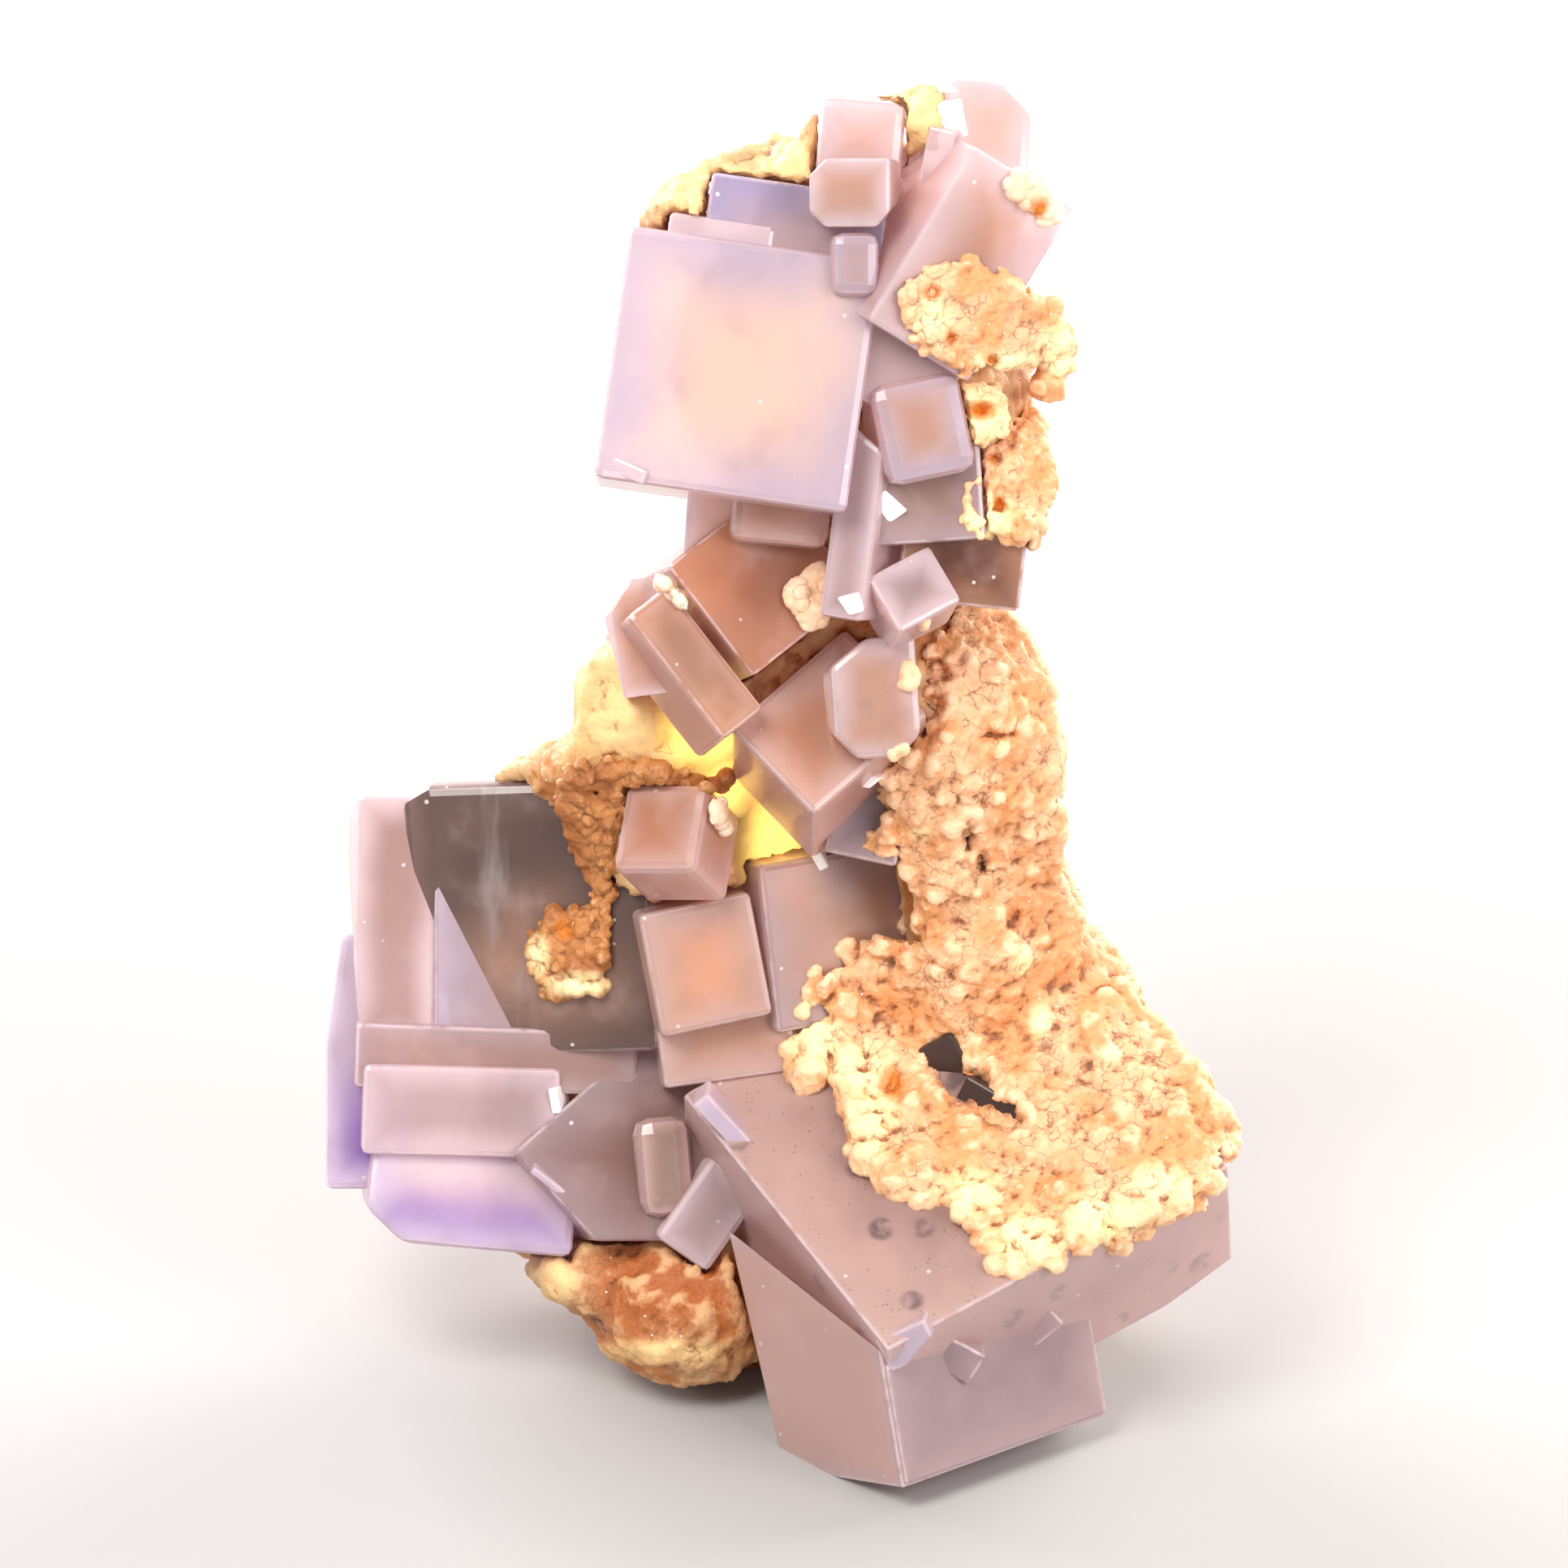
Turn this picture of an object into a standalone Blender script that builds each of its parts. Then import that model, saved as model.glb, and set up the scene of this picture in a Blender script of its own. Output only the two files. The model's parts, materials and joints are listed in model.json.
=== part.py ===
"""A fluorite specimen, standing on its broken base: lavender cubes grown together over ochre rock,
with a tan druse over the right side and small patches of druse and knobs elsewhere.

The specimen is laid out on its face, a plane through its middle that leans back from upright.
On it, across runs to the right, up runs along the face, and out runs towards whoever looks at it.
Lengths are in millimetres and angles in degrees, and each shape is made in metres.
"""

import math
import random
from collections import namedtuple

import bmesh
import bpy
from mathutils import Euler, Matrix, Vector, noise
from mathutils.bvhtree import BVHTree

MM = 0.001
FACE_LEAN = 25.0
FACE_MIDDLE = (0.0, -1.3, 41.1)  # where the middle of the face stands over the base
GAP = 0.3  # between the fluorite, the rock and the druse, which touch in the real specimen
ROCK_VOXEL = 1.3
ROCK_ROUGHNESS = 0.9
ROCK_TRIANGLES = 1600
GROUND_REACH = 200.0
IN_FRONT = 80.0  # the druse's knobs are dropped onto the specimen from this far out
LEAST_POINTS = 30  # a body of the rock or a druse with fewer is a crumb, and is left out
STEEPEST = 0.9  # how fast a druse may fall from one knob to the next, so that it stays whole

FACE = Matrix.Translation(Vector(FACE_MIDDLE) * MM) @ Matrix.Rotation(
    math.radians(90 - FACE_LEAN), 4, "X"
)

# The middle of a crystal's front face on the specimen's face, its size, how it is tipped (up shows
# its top), turned (up shows its left side) and rolled (up is anticlockwise), and its worn edges.
Crystal = namedtuple("Crystal", "across up out wide tall deep tip turn roll edge")
# A flat cut through a crystal where it is chipped or rounded: a point on it, and the way that the
# part cut off lies, anticlockwise from the right.
Chip = namedtuple("Chip", "across up way")
# The middle of a lump of rock on the specimen's face, and its half sizes.
Lump = namedtuple("Lump", "across up out half_wide half_tall half_deep")
# The outline of a druse on the specimen's face, the bare spots in it, how far behind the face it
# reaches round the rock, its knobs' radius and spacing, and the fineness and size of its mesh.
Druse = namedtuple("Druse", "outline bare round_side overhang back knob spacing voxel triangles colour seed")

CRYSTALS = {
    # The upper cube and the two steps of its growth at the upper left
    "upper_cube": Crystal(-2.8, 25.4, 12.0, 15.6, 15.6, 13.0, -2, 0, -8.3, 0.5),
    "upper_step": Crystal(0.2, 30.8, 10.6, 11.0, 12.0, 11.0, -2, 0, -8.3, 0.3),
    "upper_small_step": Crystal(-4.2, 31.4, 10.7, 6.5, 6.5, 8.0, -2, 0, -8.3, 0.3),
    "below_upper_cube": Crystal(0.0, 18.3, 7.0, 6.0, 7.0, 7.0, -5, 5, -5, 0.6),
    "behind_upper_cube": Crystal(-4.3, 15.8, 5.0, 3.5, 8.0, 6.0, 0, 0, -4, 0.3),
    # The top right
    "top_right_cube": Crystal(11.5, 31.8, 12.0, 8.0, 12.5, 9.0, 0, 25, -31.5, 0.3),
    "top_block": Crystal(12.6, 40.0, 10.5, 5.6, 6.0, 7.0, 0, 8, -4, 0.8),
    "top_left_block": Crystal(4.7, 39.4, 10.0, 5.2, 5.0, 6.0, 0, 0, -5, 0.6),
    "hexagon": Crystal(4.0, 36.2, 13.2, 5.0, 4.2, 5.0, 0, -8, 0, 0.4),
    "below_hexagon": Crystal(4.4, 31.8, 12.8, 2.9, 3.9, 4.0, 0, 5, 0, 0.7),
    # The column on the right
    "column_shoulder": Crystal(7.2, 26.4, 10.0, 8.0, 7.4, 8.0, 0, 10, -25, 0.4),
    "column_round": Crystal(8.6, 21.8, 10.8, 5.6, 6.2, 6.0, 0, 8, 12, 0.9),
    "blade": Crystal(4.2, 16.3, 9.5, 2.9, 12.5, 6.0, 5, -20, -9, 0.4),
    "column_middle": Crystal(8.7, 17.8, 8.8, 7.0, 6.0, 8.0, 0, 0, 4, 0.3),
    "column_dark": Crystal(11.0, 13.8, 7.5, 7.6, 5.8, 8.0, 8, 5, -6, 0.3),
    "column_wedge": Crystal(8.0, 12.0, 8.8, 4.5, 4.0, 5.0, -10, 15, 28, 0.3),
    "column_foot": Crystal(5.6, 5.3, 6.0, 5.4, 7.4, 8.0, 0, 6, 4, 0.5),
    # The middle
    "diamond": Crystal(-1.2, 12.6, 5.2, 8.6, 8.6, 9.0, 3, 10, 38, 0.3),
    "diamond_side": Crystal(-5.4, 7.5, 5.6, 3.4, 9.6, 6.0, 0, 20, 38, 0.4),
    "diamond_left": Crystal(-9.0, 9.0, 3.8, 3.2, 7.2, 6.0, 0, 12, 8, 0.3),
    "middle_cube": Crystal(2.8, 3.9, 3.0, 9.6, 7.6, 9.5, -13, 12, 41, 0.4),
    "middle_small": Crystal(5.2, -2.3, -2.5, 4.6, 4.8, 9.0, 0, 5, -12, 0.3),
    "dark_cube": Crystal(4.1, -9.4, -9.5, 11.0, 10.6, 9.0, 10, 20, 10, 0.4),
    "pink_cube": Crystal(-4.8, -11.2, -6.8, 7.1, 7.8, 8.0, 8, 8, 12, 0.4),
    "below_pink_cube": Crystal(-3.6, -15.6, -9.2, 8.4, 5.4, 8.0, 0, 5, 8, 0.3),
    # The lower left
    "left_dark_cube": Crystal(-15.8, -8.4, -10.5, 15.5, 17.0, 10.0, 7, -15, 2, 0.6),
    "left_pale_cube": Crystal(-17.6, -11.7, -11.7, 8.2, 11.5, 9.0, 0, 0, 0, 0.3),
    "left_outer_cube": Crystal(-24.0, -8.4, -11.9, 5.2, 15.2, 10.0, 0, 4, -1.5, 0.3),
    "left_edge": Crystal(-25.6, -17.2, -13.2, 5.8, 15.8, 9.0, 0, 6, 0, 0.4),
    "left_ledge": Crystal(-17.8, -17.1, -11.2, 17.5, 4.0, 8.0, 6, 2, -2, 0.3),
    "left_block": Crystal(-20.0, -20.3, -10.9, 12.2, 5.6, 8.0, 5, 3, -1.5, 0.4),
    "left_bottom": Crystal(-19.3, -25.3, -11.8, 13.0, 7.0, 9.0, -10, 3, -6, 0.6),
    "lower_diamond": Crystal(-8.2, -22.6, -11.0, 13.0, 11.2, 9.0, -5, 8, 42, 0.3),
    "lower_round": Crystal(-7.2, -23.7, -9.4, 3.4, 6.2, 5.0, 0, 10, 5, 1.0),
    "lower_link": Crystal(-4.6, -26.7, -9.5, 4.0, 6.0, 6.0, 0, 10, -35, 0.4),
    # The lower right, where the foot cube leaves the front cube through its sides
    "front_cube": Crystal(10.6, -21.4, -6.7, 25.0, 23.5, 11.0, -33, 17.4, 28, 0.5),
    "foot_cube": Crystal(13.2, -37.4, -3.6, 16.2, 8.0, 15.8, 16, 35, 19, 0.4),
    "foot_side": Crystal(7.5, -35.7, 0.6, 3.6, 15.0, 16.2, 16, 35, 19, 0.4),
}

SMALL_CUBE = Crystal(-7.7, -2.6, -2.4, 5.6, 5.8, 5.6, -22, -25, 0, 0.6)

CHIPS = {
    "top_block": [Chip(14.4, 42.1, 47), Chip(11.5, 43.3, 90)],
    "hexagon": [Chip(1.9, 37.6, 135), Chip(6.1, 34.6, -40), Chip(2.4, 34.2, 225)],
    "diamond_left": [Chip(-10.2, 11.5, 147), Chip(-10.6, 8.5, 194)],
    "column_foot": [Chip(3.6, 7.8, 130), Chip(7.6, 2.2, -40), Chip(3.4, 2.6, 225)],
    "blade": [Chip(5.4, 21.0, 50)],
    "left_dark_cube": [Chip(-18.0, 0.2, 92), Chip(-23.0, -0.7, 120)],
    "left_outer_cube": [Chip(-27.0, -6.0, 184)],
    "left_edge": [Chip(-27.9, -12.7, 172), Chip(-28.4, -18.0, 180)],
    "left_bottom": [Chip(-20.4, -28.7, -95), Chip(-24.6, -27.5, 226)],
    "lower_diamond": [Chip(-8.1, -28.3, -90)],
    "front_cube": [Chip(-3.6, -17.0, 132), Chip(23.3, -32.6, -54)],
    "foot_cube": [Chip(-0.4, -38.5, 191), Chip(1.4, -41.9, 230)],
    "foot_side": [Chip(1.8, -31.7, 52), Chip(-0.9, -38.5, 193), Chip(0.9, -42.2, 228)],
}

ROCK = [
    # From the foot up
    Lump(2.5, -29.0, -23.0, 17.0, 9.0, 9.5),
    Lump(-12.0, -22.6, -23.5, 8.0, 8.0, 6.5),
    Lump(4.0, -16.0, -20.5, 14.0, 11.0, 7.8),
    Lump(-13.5, -10.0, -20.0, 9.0, 9.0, 5.2),
    Lump(1.5, -4.0, -16.5, 11.0, 10.0, 6.5),
    Lump(3.0, 7.0, -6.8, 9.0, 9.0, 7.5),
    Lump(4.0, 16.0, -3.0, 7.5, 8.0, 7.0),
    Lump(1.5, 26.0, 0.0, 9.0, 9.0, 8.0),
    Lump(8.5, 25.0, 1.5, 7.0, 8.0, 7.0),
    Lump(4.0, 34.0, 3.0, 8.5, 6.0, 6.5),
    # The right flank, under the druse
    Lump(9.0, 3.5, -6.0, 6.6, 8.0, 7.0),
    Lump(11.7, -5.5, -13.0, 5.0, 9.0, 7.5),
    Lump(14.0, -14.0, -17.0, 7.0, 6.0, 7.0),
    Lump(18.0, -16.6, -14.0, 4.8, 4.2, 5.0),
    Lump(23.0, -21.6, -10.8, 3.4, 3.4, 4.0),
    # The glowing patch left of the middle, and its point over the dark cube
    Lump(-7.5, -1.5, -10.5, 6.0, 7.0, 5.5),
    Lump(-3.5, -3.0, -12.5, 5.0, 6.0, 5.0),
    Lump(-8.0, 5.0, -6.5, 4.9, 5.4, 5.0),
    Lump(-11.0, 0.9, -9.5, 5.0, 2.6, 5.0),
    Lump(-14.8, -0.1, -11.5, 4.0, 1.9, 3.0),
    # The upper left edge and the knobs along the top
    Lump(-4.6, 34.1, 6.0, 4.3, 4.1, 5.0),
    Lump(-1.0, 36.9, 5.5, 3.9, 2.8, 4.0),
    Lump(1.8, 38.2, 6.5, 2.0, 2.4, 3.5),
    Lump(3.9, 40.4, 7.5, 2.4, 2.4, 3.0),
    Lump(6.4, 40.5, 7.5, 2.2, 2.4, 3.0),
    Lump(9.1, 40.6, 8.0, 2.4, 2.4, 3.0),
    # The foot at the lower left
    Lump(-5.6, -32.0, -14.6, 6.6, 5.2, 5.5),
    Lump(-12.0, -30.1, -15.0, 4.4, 2.8, 4.0),
]

DRUSES = {
    "right_druse": Druse(
        outline=[
            (9.2, 10.5), (12.0, 11.0), (13.8, 10.6), (15.4, 7.8), (16.5, 4.3), (17.1, 2.3),
            (17.1, -6.2), (19.2, -10.7), (21.5, -11.2), (22.2, -14.0), (25.2, -17.2),
            (28.2, -21.7), (28.0, -24.0), (23.2, -26.7), (16.7, -29.0), (14.2, -29.7),
            (12.4, -27.6), (9.2, -25.5), (6.7, -24.4), (4.5, -23.5), (5.5, -21.6), (3.6, -18.2),
            (1.7, -19.0), (0.0, -16.0), (1.6, -13.5), (2.5, -12.0), (5.6, -9.7), (9.0, -9.8),
            (7.2, -4.4), (5.4, -4.0), (6.8, -1.2), (6.3, 1.4), (9.6, 3.2), (8.2, 5.6),
            (9.2, 8.3),
        ],
        bare=[[(9.2, -16.6), (10.6, -16.8), (12.4, -19.0), (15.0, -21.6), (12.6, -20.8), (10.0, -18.4)]],
        round_side=True,
        overhang=0.5, back=-22.0, knob=1.45, spacing=1.25, voxel=0.55, triangles=1650, colour=(0.80, 0.55, 0.34), seed=3,
    ),
    "upper_druse": Druse(
        outline=[
            (7.1, 30.0), (8.4, 31.3), (11.2, 31.9), (12.8, 31.8), (14.3, 30.9), (15.3, 29.4),
            (16.7, 29.6), (17.3, 28.4), (17.7, 26.4), (17.4, 24.2), (16.3, 23.2), (15.3, 24.6),
            (15.4, 25.9), (11.0, 25.2), (8.8, 26.7), (8.6, 28.0), (7.1, 28.4),
        ],
        bare=[], round_side=True,
        overhang=0.6, back=-4.0, knob=1.2, spacing=0.9, voxel=0.5, triangles=650, colour=(0.86, 0.62, 0.40), seed=5,
    ),
    "ring_druse": Druse(
        outline=[
            (10.3, 24.0), (11.6, 24.4), (13.0, 24.2), (13.7, 22.9), (13.4, 21.6), (12.0, 20.9),
            (10.8, 21.7),
        ],
        bare=[[(11.4, 23.1), (12.3, 23.2), (12.6, 22.6), (12.0, 22.1), (11.3, 22.4)]], round_side=False,
        overhang=0.35, back=-4.0, knob=0.7, spacing=0.5, voxel=0.32, triangles=240, colour=(0.88, 0.62, 0.38), seed=8,
    ),
    "column_druse": Druse(
        outline=[
            (16.2, 22.4), (16.4, 20.2), (16.2, 17.6), (15.6, 14.9), (13.9, 14.9), (11.4, 15.3),
            (10.4, 17.6), (11.2, 18.8), (12.8, 18.6), (11.6, 20.0), (13.9, 21.0), (14.6, 22.8),
        ],
        bare=[], round_side=True,
        overhang=0.6, back=-6.0, knob=1.2, spacing=0.9, voxel=0.5, triangles=450, colour=(0.85, 0.60, 0.38), seed=9,
    ),
    "left_druse": Druse(
        outline=[
            (-13.4, 1.0), (-12.3, 1.8), (-9.8, 1.8), (-8.3, 1.3), (-5.8, 0.8), (-2.6, 0.4),
            (-3.0, -0.7), (-4.9, -0.1), (-8.3, 0.0), (-10.0, -0.3), (-10.1, -2.2), (-10.5, -6.2),
            (-10.8, -8.2), (-11.0, -12.8), (-12.8, -13.1), (-14.7, -12.8), (-15.7, -10.0),
            (-15.5, -9.2), (-13.3, -7.3), (-12.2, -7.6), (-11.6, -6.2), (-12.9, -4.3),
            (-13.8, -1.3), (-13.4, -0.3),
        ],
        bare=[], round_side=False,
        overhang=0.5, back=-14.0, knob=0.9, spacing=0.8, voxel=0.42, triangles=800, colour=(0.72, 0.47, 0.27), seed=7,
    ),
}

# The knobs that stand alone: each is a few round heads on the specimen's face, across, up, radius.
KNOBS = {
    "left_knob": [(-7.0, 12.3, 1.0), (-6.2, 11.6, 0.95)],
    "middle_knob": [(0.9, 11.6, 1.1), (1.7, 10.6, 1.2), (2.0, 12.6, 1.0)],
    "top_knob": [(14.3, 36.7, 1.0), (15.3, 36.2, 1.2), (16.1, 35.2, 1.0)],
    "small_cube_knob": [(-4.4, -1.7, 0.95), (-4.0, -2.6, 0.7)],
}
KNOB_VOXEL = 0.35

# The crystals cut the rock and two of the druses into separate bodies. Their names, largest first.
BODIES = {
    "matrix": ["matrix", "top_matrix"],
    "right_druse": ["right_druse", "flank_druse"],
    "upper_druse": ["upper_back_druse", "upper_druse"],
}
KNOB_TRIANGLES = 150

FLUORITE_COLOUR = (0.72, 0.60, 0.64)
ROCK_COLOUR = (0.80, 0.50, 0.18)
KNOB_COLOUR = (0.92, 0.72, 0.50)


def new_collection(name):
    collection = bpy.data.collections.new(name)
    bpy.context.scene.collection.children.link(collection)
    return collection


def new_object(name, mesh, collection, helper=False):
    obj = bpy.data.objects.new(name, mesh)
    collection.objects.link(obj)
    if helper:
        obj.hide_render = True
        obj.display_type = "WIRE"
    return obj


def mesh_of(shape, name):
    mesh = bpy.data.meshes.new(name)
    shape.to_mesh(mesh)
    shape.free()
    return mesh


def evaluated_mesh(obj):
    bpy.context.view_layer.update()
    graph = bpy.context.evaluated_depsgraph_get()
    return bpy.data.meshes.new_from_object(obj.evaluated_get(graph))


def on_face(across, up, out):
    """The point of the world, in metres, at that place on the specimen's face."""
    return FACE @ (Vector((across, up, out)) * MM)


def place_of(crystal):
    turned = Euler([math.radians(angle) for angle in (crystal.tip, crystal.turn, crystal.roll)], "XYZ")
    middle = Vector((crystal.across, crystal.up, crystal.out)) * MM
    return FACE @ Matrix.Translation(middle) @ turned.to_matrix().to_4x4()


def chip_off(shape, chip, to_crystal, grown):
    """Cuts the chip's corner off the crystal, square to the specimen's face."""
    way = Vector((math.cos(math.radians(chip.way)), math.sin(math.radians(chip.way)), 0))
    point = to_crystal @ FACE @ ((Vector((chip.across, chip.up, 0)) + way * grown) * MM)
    normal = (to_crystal @ FACE).to_3x3() @ way
    geometry = shape.verts[:] + shape.edges[:] + shape.faces[:]
    cut = bmesh.ops.bisect_plane(shape, geom=geometry, plane_co=point, plane_no=normal, clear_outer=True)
    edges = [part for part in cut["geom_cut"] if isinstance(part, bmesh.types.BMEdge)]
    if edges:
        bmesh.ops.edgeloop_fill(shape, edges=edges)
        bmesh.ops.recalc_face_normals(shape, faces=shape.faces)


def add_crystal(name, crystal, collection, helper=True, grown=0.0):
    shape = bmesh.new()
    bmesh.ops.create_cube(shape, size=1)
    size = Vector((crystal.wide, crystal.tall, crystal.deep)) + Vector((2, 2, 2)) * grown
    bmesh.ops.scale(shape, vec=size * MM, verts=shape.verts)
    bmesh.ops.translate(shape, vec=(0, 0, -crystal.deep / 2 * MM), verts=shape.verts)
    place = place_of(crystal)
    for chip in CHIPS.get(name, []):
        chip_off(shape, chip, place.inverted(), grown)
    obj = new_object(name, mesh_of(shape, name), collection, helper)
    obj.matrix_world = place
    if not grown:
        worn = obj.modifiers.new("Worn edges", "BEVEL")
        worn.width = crystal.edge * MM
        worn.segments = 1
    return obj


def joined(name, crystals, collection, helper=False, grown=0.0):
    """One solid of all these crystals, joined to the first."""
    blocks = new_collection(name + "_blocks")
    names = list(crystals)
    base = add_crystal(names[0], crystals[names[0]], helpers, grown=grown)
    for other in names[1:]:
        add_crystal(other, crystals[other], blocks, grown=grown)
    grow = base.modifiers.new("Grown together", "BOOLEAN")
    grow.operation = "UNION"
    grow.operand_type = "COLLECTION"
    grow.collection = blocks
    mesh = evaluated_mesh(base)
    mesh.transform(base.matrix_world)
    return new_object(name, mesh, collection, helper)


def add_ground():
    """All that lies below the specimen's flat base."""
    shape = bmesh.new()
    bmesh.ops.create_cube(shape, size=GROUND_REACH * MM)
    bmesh.ops.translate(shape, vec=(0, 0, -GROUND_REACH / 2 * MM), verts=shape.verts)
    return new_object("ground", mesh_of(shape, "ground"), helpers, helper=True)


def add_lumps(name, lumps, voxel):
    """A closed mesh of round lumps run together."""
    shape = bmesh.new()
    for lump in lumps:
        half = Vector((lump.half_wide, lump.half_tall, lump.half_deep)) * MM
        place = Matrix.Translation(Vector((lump.across, lump.up, lump.out)) * MM)
        ball = FACE @ place @ Matrix.Diagonal(half).to_4x4()
        bmesh.ops.create_icosphere(shape, subdivisions=3, radius=1, matrix=ball)
    obj = new_object(name, mesh_of(shape, name), helpers, helper=True)
    run = obj.modifiers.new("Run together", "REMESH")
    run.mode = "VOXEL"
    run.voxel_size = voxel * MM
    return obj


def bodies_of(mesh):
    """The mesh's separate bodies as meshes of their own, the largest first, leaving out crumbs."""
    shape = bmesh.new()
    shape.from_mesh(mesh)
    shape.verts.ensure_lookup_table()
    unseen = set(range(len(shape.verts)))
    bodies = []
    while unseen:
        body = [unseen.pop()]
        for index in body:
            for edge in shape.verts[index].link_edges:
                other = edge.other_vert(shape.verts[index]).index
                if other in unseen:
                    unseen.remove(other)
                    body.append(other)
        bodies.append(body)
    shape.free()
    bodies.sort(key=len, reverse=True)
    meshes = []
    for body in bodies:
        if len(body) < LEAST_POINTS:
            break
        shape = bmesh.new()
        shape.from_mesh(mesh)
        keep = set(body)
        bmesh.ops.delete(shape, geom=[vert for vert in shape.verts if vert.index not in keep], context="VERTS")
        meshes.append(mesh_of(shape, mesh.name))
    return meshes


def thinned(name, mesh, triangles):
    """The mesh with about that many triangles."""
    obj = new_object(name, mesh, helpers, helper=True)
    mesh.calc_loop_triangles()
    thin = obj.modifiers.new("Thinned", "DECIMATE")
    thin.ratio = min(1.0, triangles / len(mesh.loop_triangles))
    result = evaluated_mesh(obj)
    bpy.data.objects.remove(obj)
    return result


def cut_from(name, mesh, cutters, collection):
    """New objects of the mesh, cut by each of those objects: one for each body that is left."""
    obj = new_object(name + "_uncut", mesh, helpers, helper=True)
    for cutter in cutters:
        cut = obj.modifiers.new("Cut by " + cutter.name, "BOOLEAN")
        cut.operation = "DIFFERENCE"
        cut.object = cutter
    result = evaluated_mesh(obj)
    bpy.data.objects.remove(obj)
    return [new_object(own, body, collection) for own, body in zip(BODIES.get(name, [name]), bodies_of(result))]


def swollen(mesh, by):
    """A copy of the mesh, every point of it moved out along its normal."""
    copy = mesh.copy()
    for vertex, source in zip(copy.vertices, mesh.vertices):
        vertex.co = source.co + source.normal * by * MM
    return copy


def make_rock():
    lumps = add_lumps("rock_lumps", ROCK, ROCK_VOXEL)
    mesh = evaluated_mesh(lumps)
    for vertex in mesh.vertices:
        place = vertex.co / MM
        nearest, second = noise.voronoi(place / 5.5)[0][:2]
        broken = noise.noise(place / 7) + 0.5 * noise.noise(place / 2.6) + min(second - nearest, 0.4) - 0.25
        vertex.co += vertex.normal * broken * ROCK_ROUGHNESS * MM
    return thinned("rock", mesh, ROCK_TRIANGLES)


def tree_of(objects):
    """A tree for casting rays at these objects together."""
    points, faces = [], []
    for obj in objects:
        start = len(points)
        points += [obj.matrix_world @ vertex.co for vertex in obj.data.vertices]
        faces += [[start + index for index in face.vertices] for face in obj.data.polygons]
    return BVHTree.FromPolygons(points, faces)


def inside(point, outline):
    """Whether the point is in the outline, by how often a line to the right crosses it."""
    crossed = False
    for (ax, ay), (bx, by) in zip(outline, outline[1:] + outline[:1]):
        if (ay > point[1]) != (by > point[1]):
            crossed ^= point[0] < (bx - ax) * (point[1] - ay) / (by - ay) + ax
    return crossed


def from_edge(point, outline):
    """How far the point is from the outline."""
    nearest = 1e9
    spot = Vector(point)
    for start, end in zip(outline, outline[1:] + outline[:1]):
        a, b = Vector(start), Vector(end)
        along = max(0.0, min(1.0, (spot - a).dot(b - a) / (b - a).length_squared))
        nearest = min(nearest, (spot - a.lerp(b, along)).length)
    return nearest


def drop(tree, across, up):
    """How far out the specimen is at that place, or nothing where the line misses it."""
    inwards = FACE.to_3x3() @ Vector((0, 0, -1))
    hit = tree.ray_cast(on_face(across, up, IN_FRONT), inwards)[0]
    return (FACE.inverted() @ hit).z / MM if hit else None


def heads_on_front(druse, tree, draw):
    """The round heads of a druse over what faces the front: across, up, out, radius."""
    left, right = (edge([x for x, _ in druse.outline]) for edge in (min, max))
    low, high = (edge([y for _, y in druse.outline]) for edge in (min, max))
    found, missed = [], []
    for row in range(int((high - low) / druse.spacing) + 1):
        for column in range(int((right - left) / druse.spacing) + 1):
            x = left + (column + draw.uniform(0.1, 0.9)) * druse.spacing
            y = low + (row + draw.uniform(0.1, 0.9)) * druse.spacing
            radius = druse.knob * draw.uniform(0.75, 1.15)
            if not inside((x, y), druse.outline) or any(inside((x, y), spot) for spot in druse.bare):
                continue
            radius = min(radius, from_edge((x, y), druse.outline) + druse.overhang)
            out = drop(tree, x, y)
            if out is None or out < druse.back:
                missed.append((x, y, radius))
            else:
                found.append((x, y, out, radius))
    placed = []
    for x, y, out, radius in found:
        lift = max(z - STEEPEST * math.hypot(x - u, y - v) for u, v, z, _ in found)
        placed.append((x, y, max(out, lift), radius))
    for x, y, radius in missed:
        lift = max(z - STEEPEST * math.hypot(x - u, y - v) for u, v, z, _ in found)
        placed.append((x, y, lift, radius))
    return placed


def heads_round_side(druse, rock, draw):
    """The heads that carry a druse round the right side of the rock."""
    placed = []
    to_face = FACE.inverted()
    spots = [(vertex.co, vertex.normal) for vertex in rock.vertices]
    spots += [(face.center, face.normal) for face in rock.polygons]
    for place, normal in spots:
        spot = to_face @ place / MM
        facing = (to_face.to_3x3() @ normal).normalized()
        if facing.x > 0.15 and facing.z < 0.5 and spot.z > druse.back and inside(spot[:2], druse.outline):
            placed.append((spot.x, spot.y, spot.z, druse.knob * draw.uniform(0.9, 1.2)))
    return placed


def druse_mesh(name, heads, voxel, triangles):
    shape = bmesh.new()
    for across, up, out, radius in heads:
        place = Matrix.Translation(on_face(across, up, out)) @ Matrix.Scale(radius * MM, 4)
        bmesh.ops.create_icosphere(shape, subdivisions=1, radius=1, matrix=place)
    obj = new_object(name + "_heads", mesh_of(shape, name), helpers, helper=True)
    run = obj.modifiers.new("Run together", "REMESH")
    run.mode = "VOXEL"
    run.voxel_size = voxel * MM
    mesh = evaluated_mesh(obj)
    bpy.data.objects.remove(obj)
    return thinned(name, mesh, triangles)


def add_material(obj, name, colour, roughness, transmission=0.0):
    material = bpy.data.materials.new(name)
    material.use_nodes = True
    surface = material.node_tree.nodes["Principled BSDF"]
    surface.inputs["Base Color"].default_value = (*colour, 1)
    surface.inputs["Roughness"].default_value = roughness
    surface.inputs["Metallic"].default_value = 0.0
    surface.inputs["Transmission Weight"].default_value = transmission
    obj.data.materials.clear()
    obj.data.materials.append(material)
    return obj


for old in list(bpy.data.objects):
    bpy.data.objects.remove(old)

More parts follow.
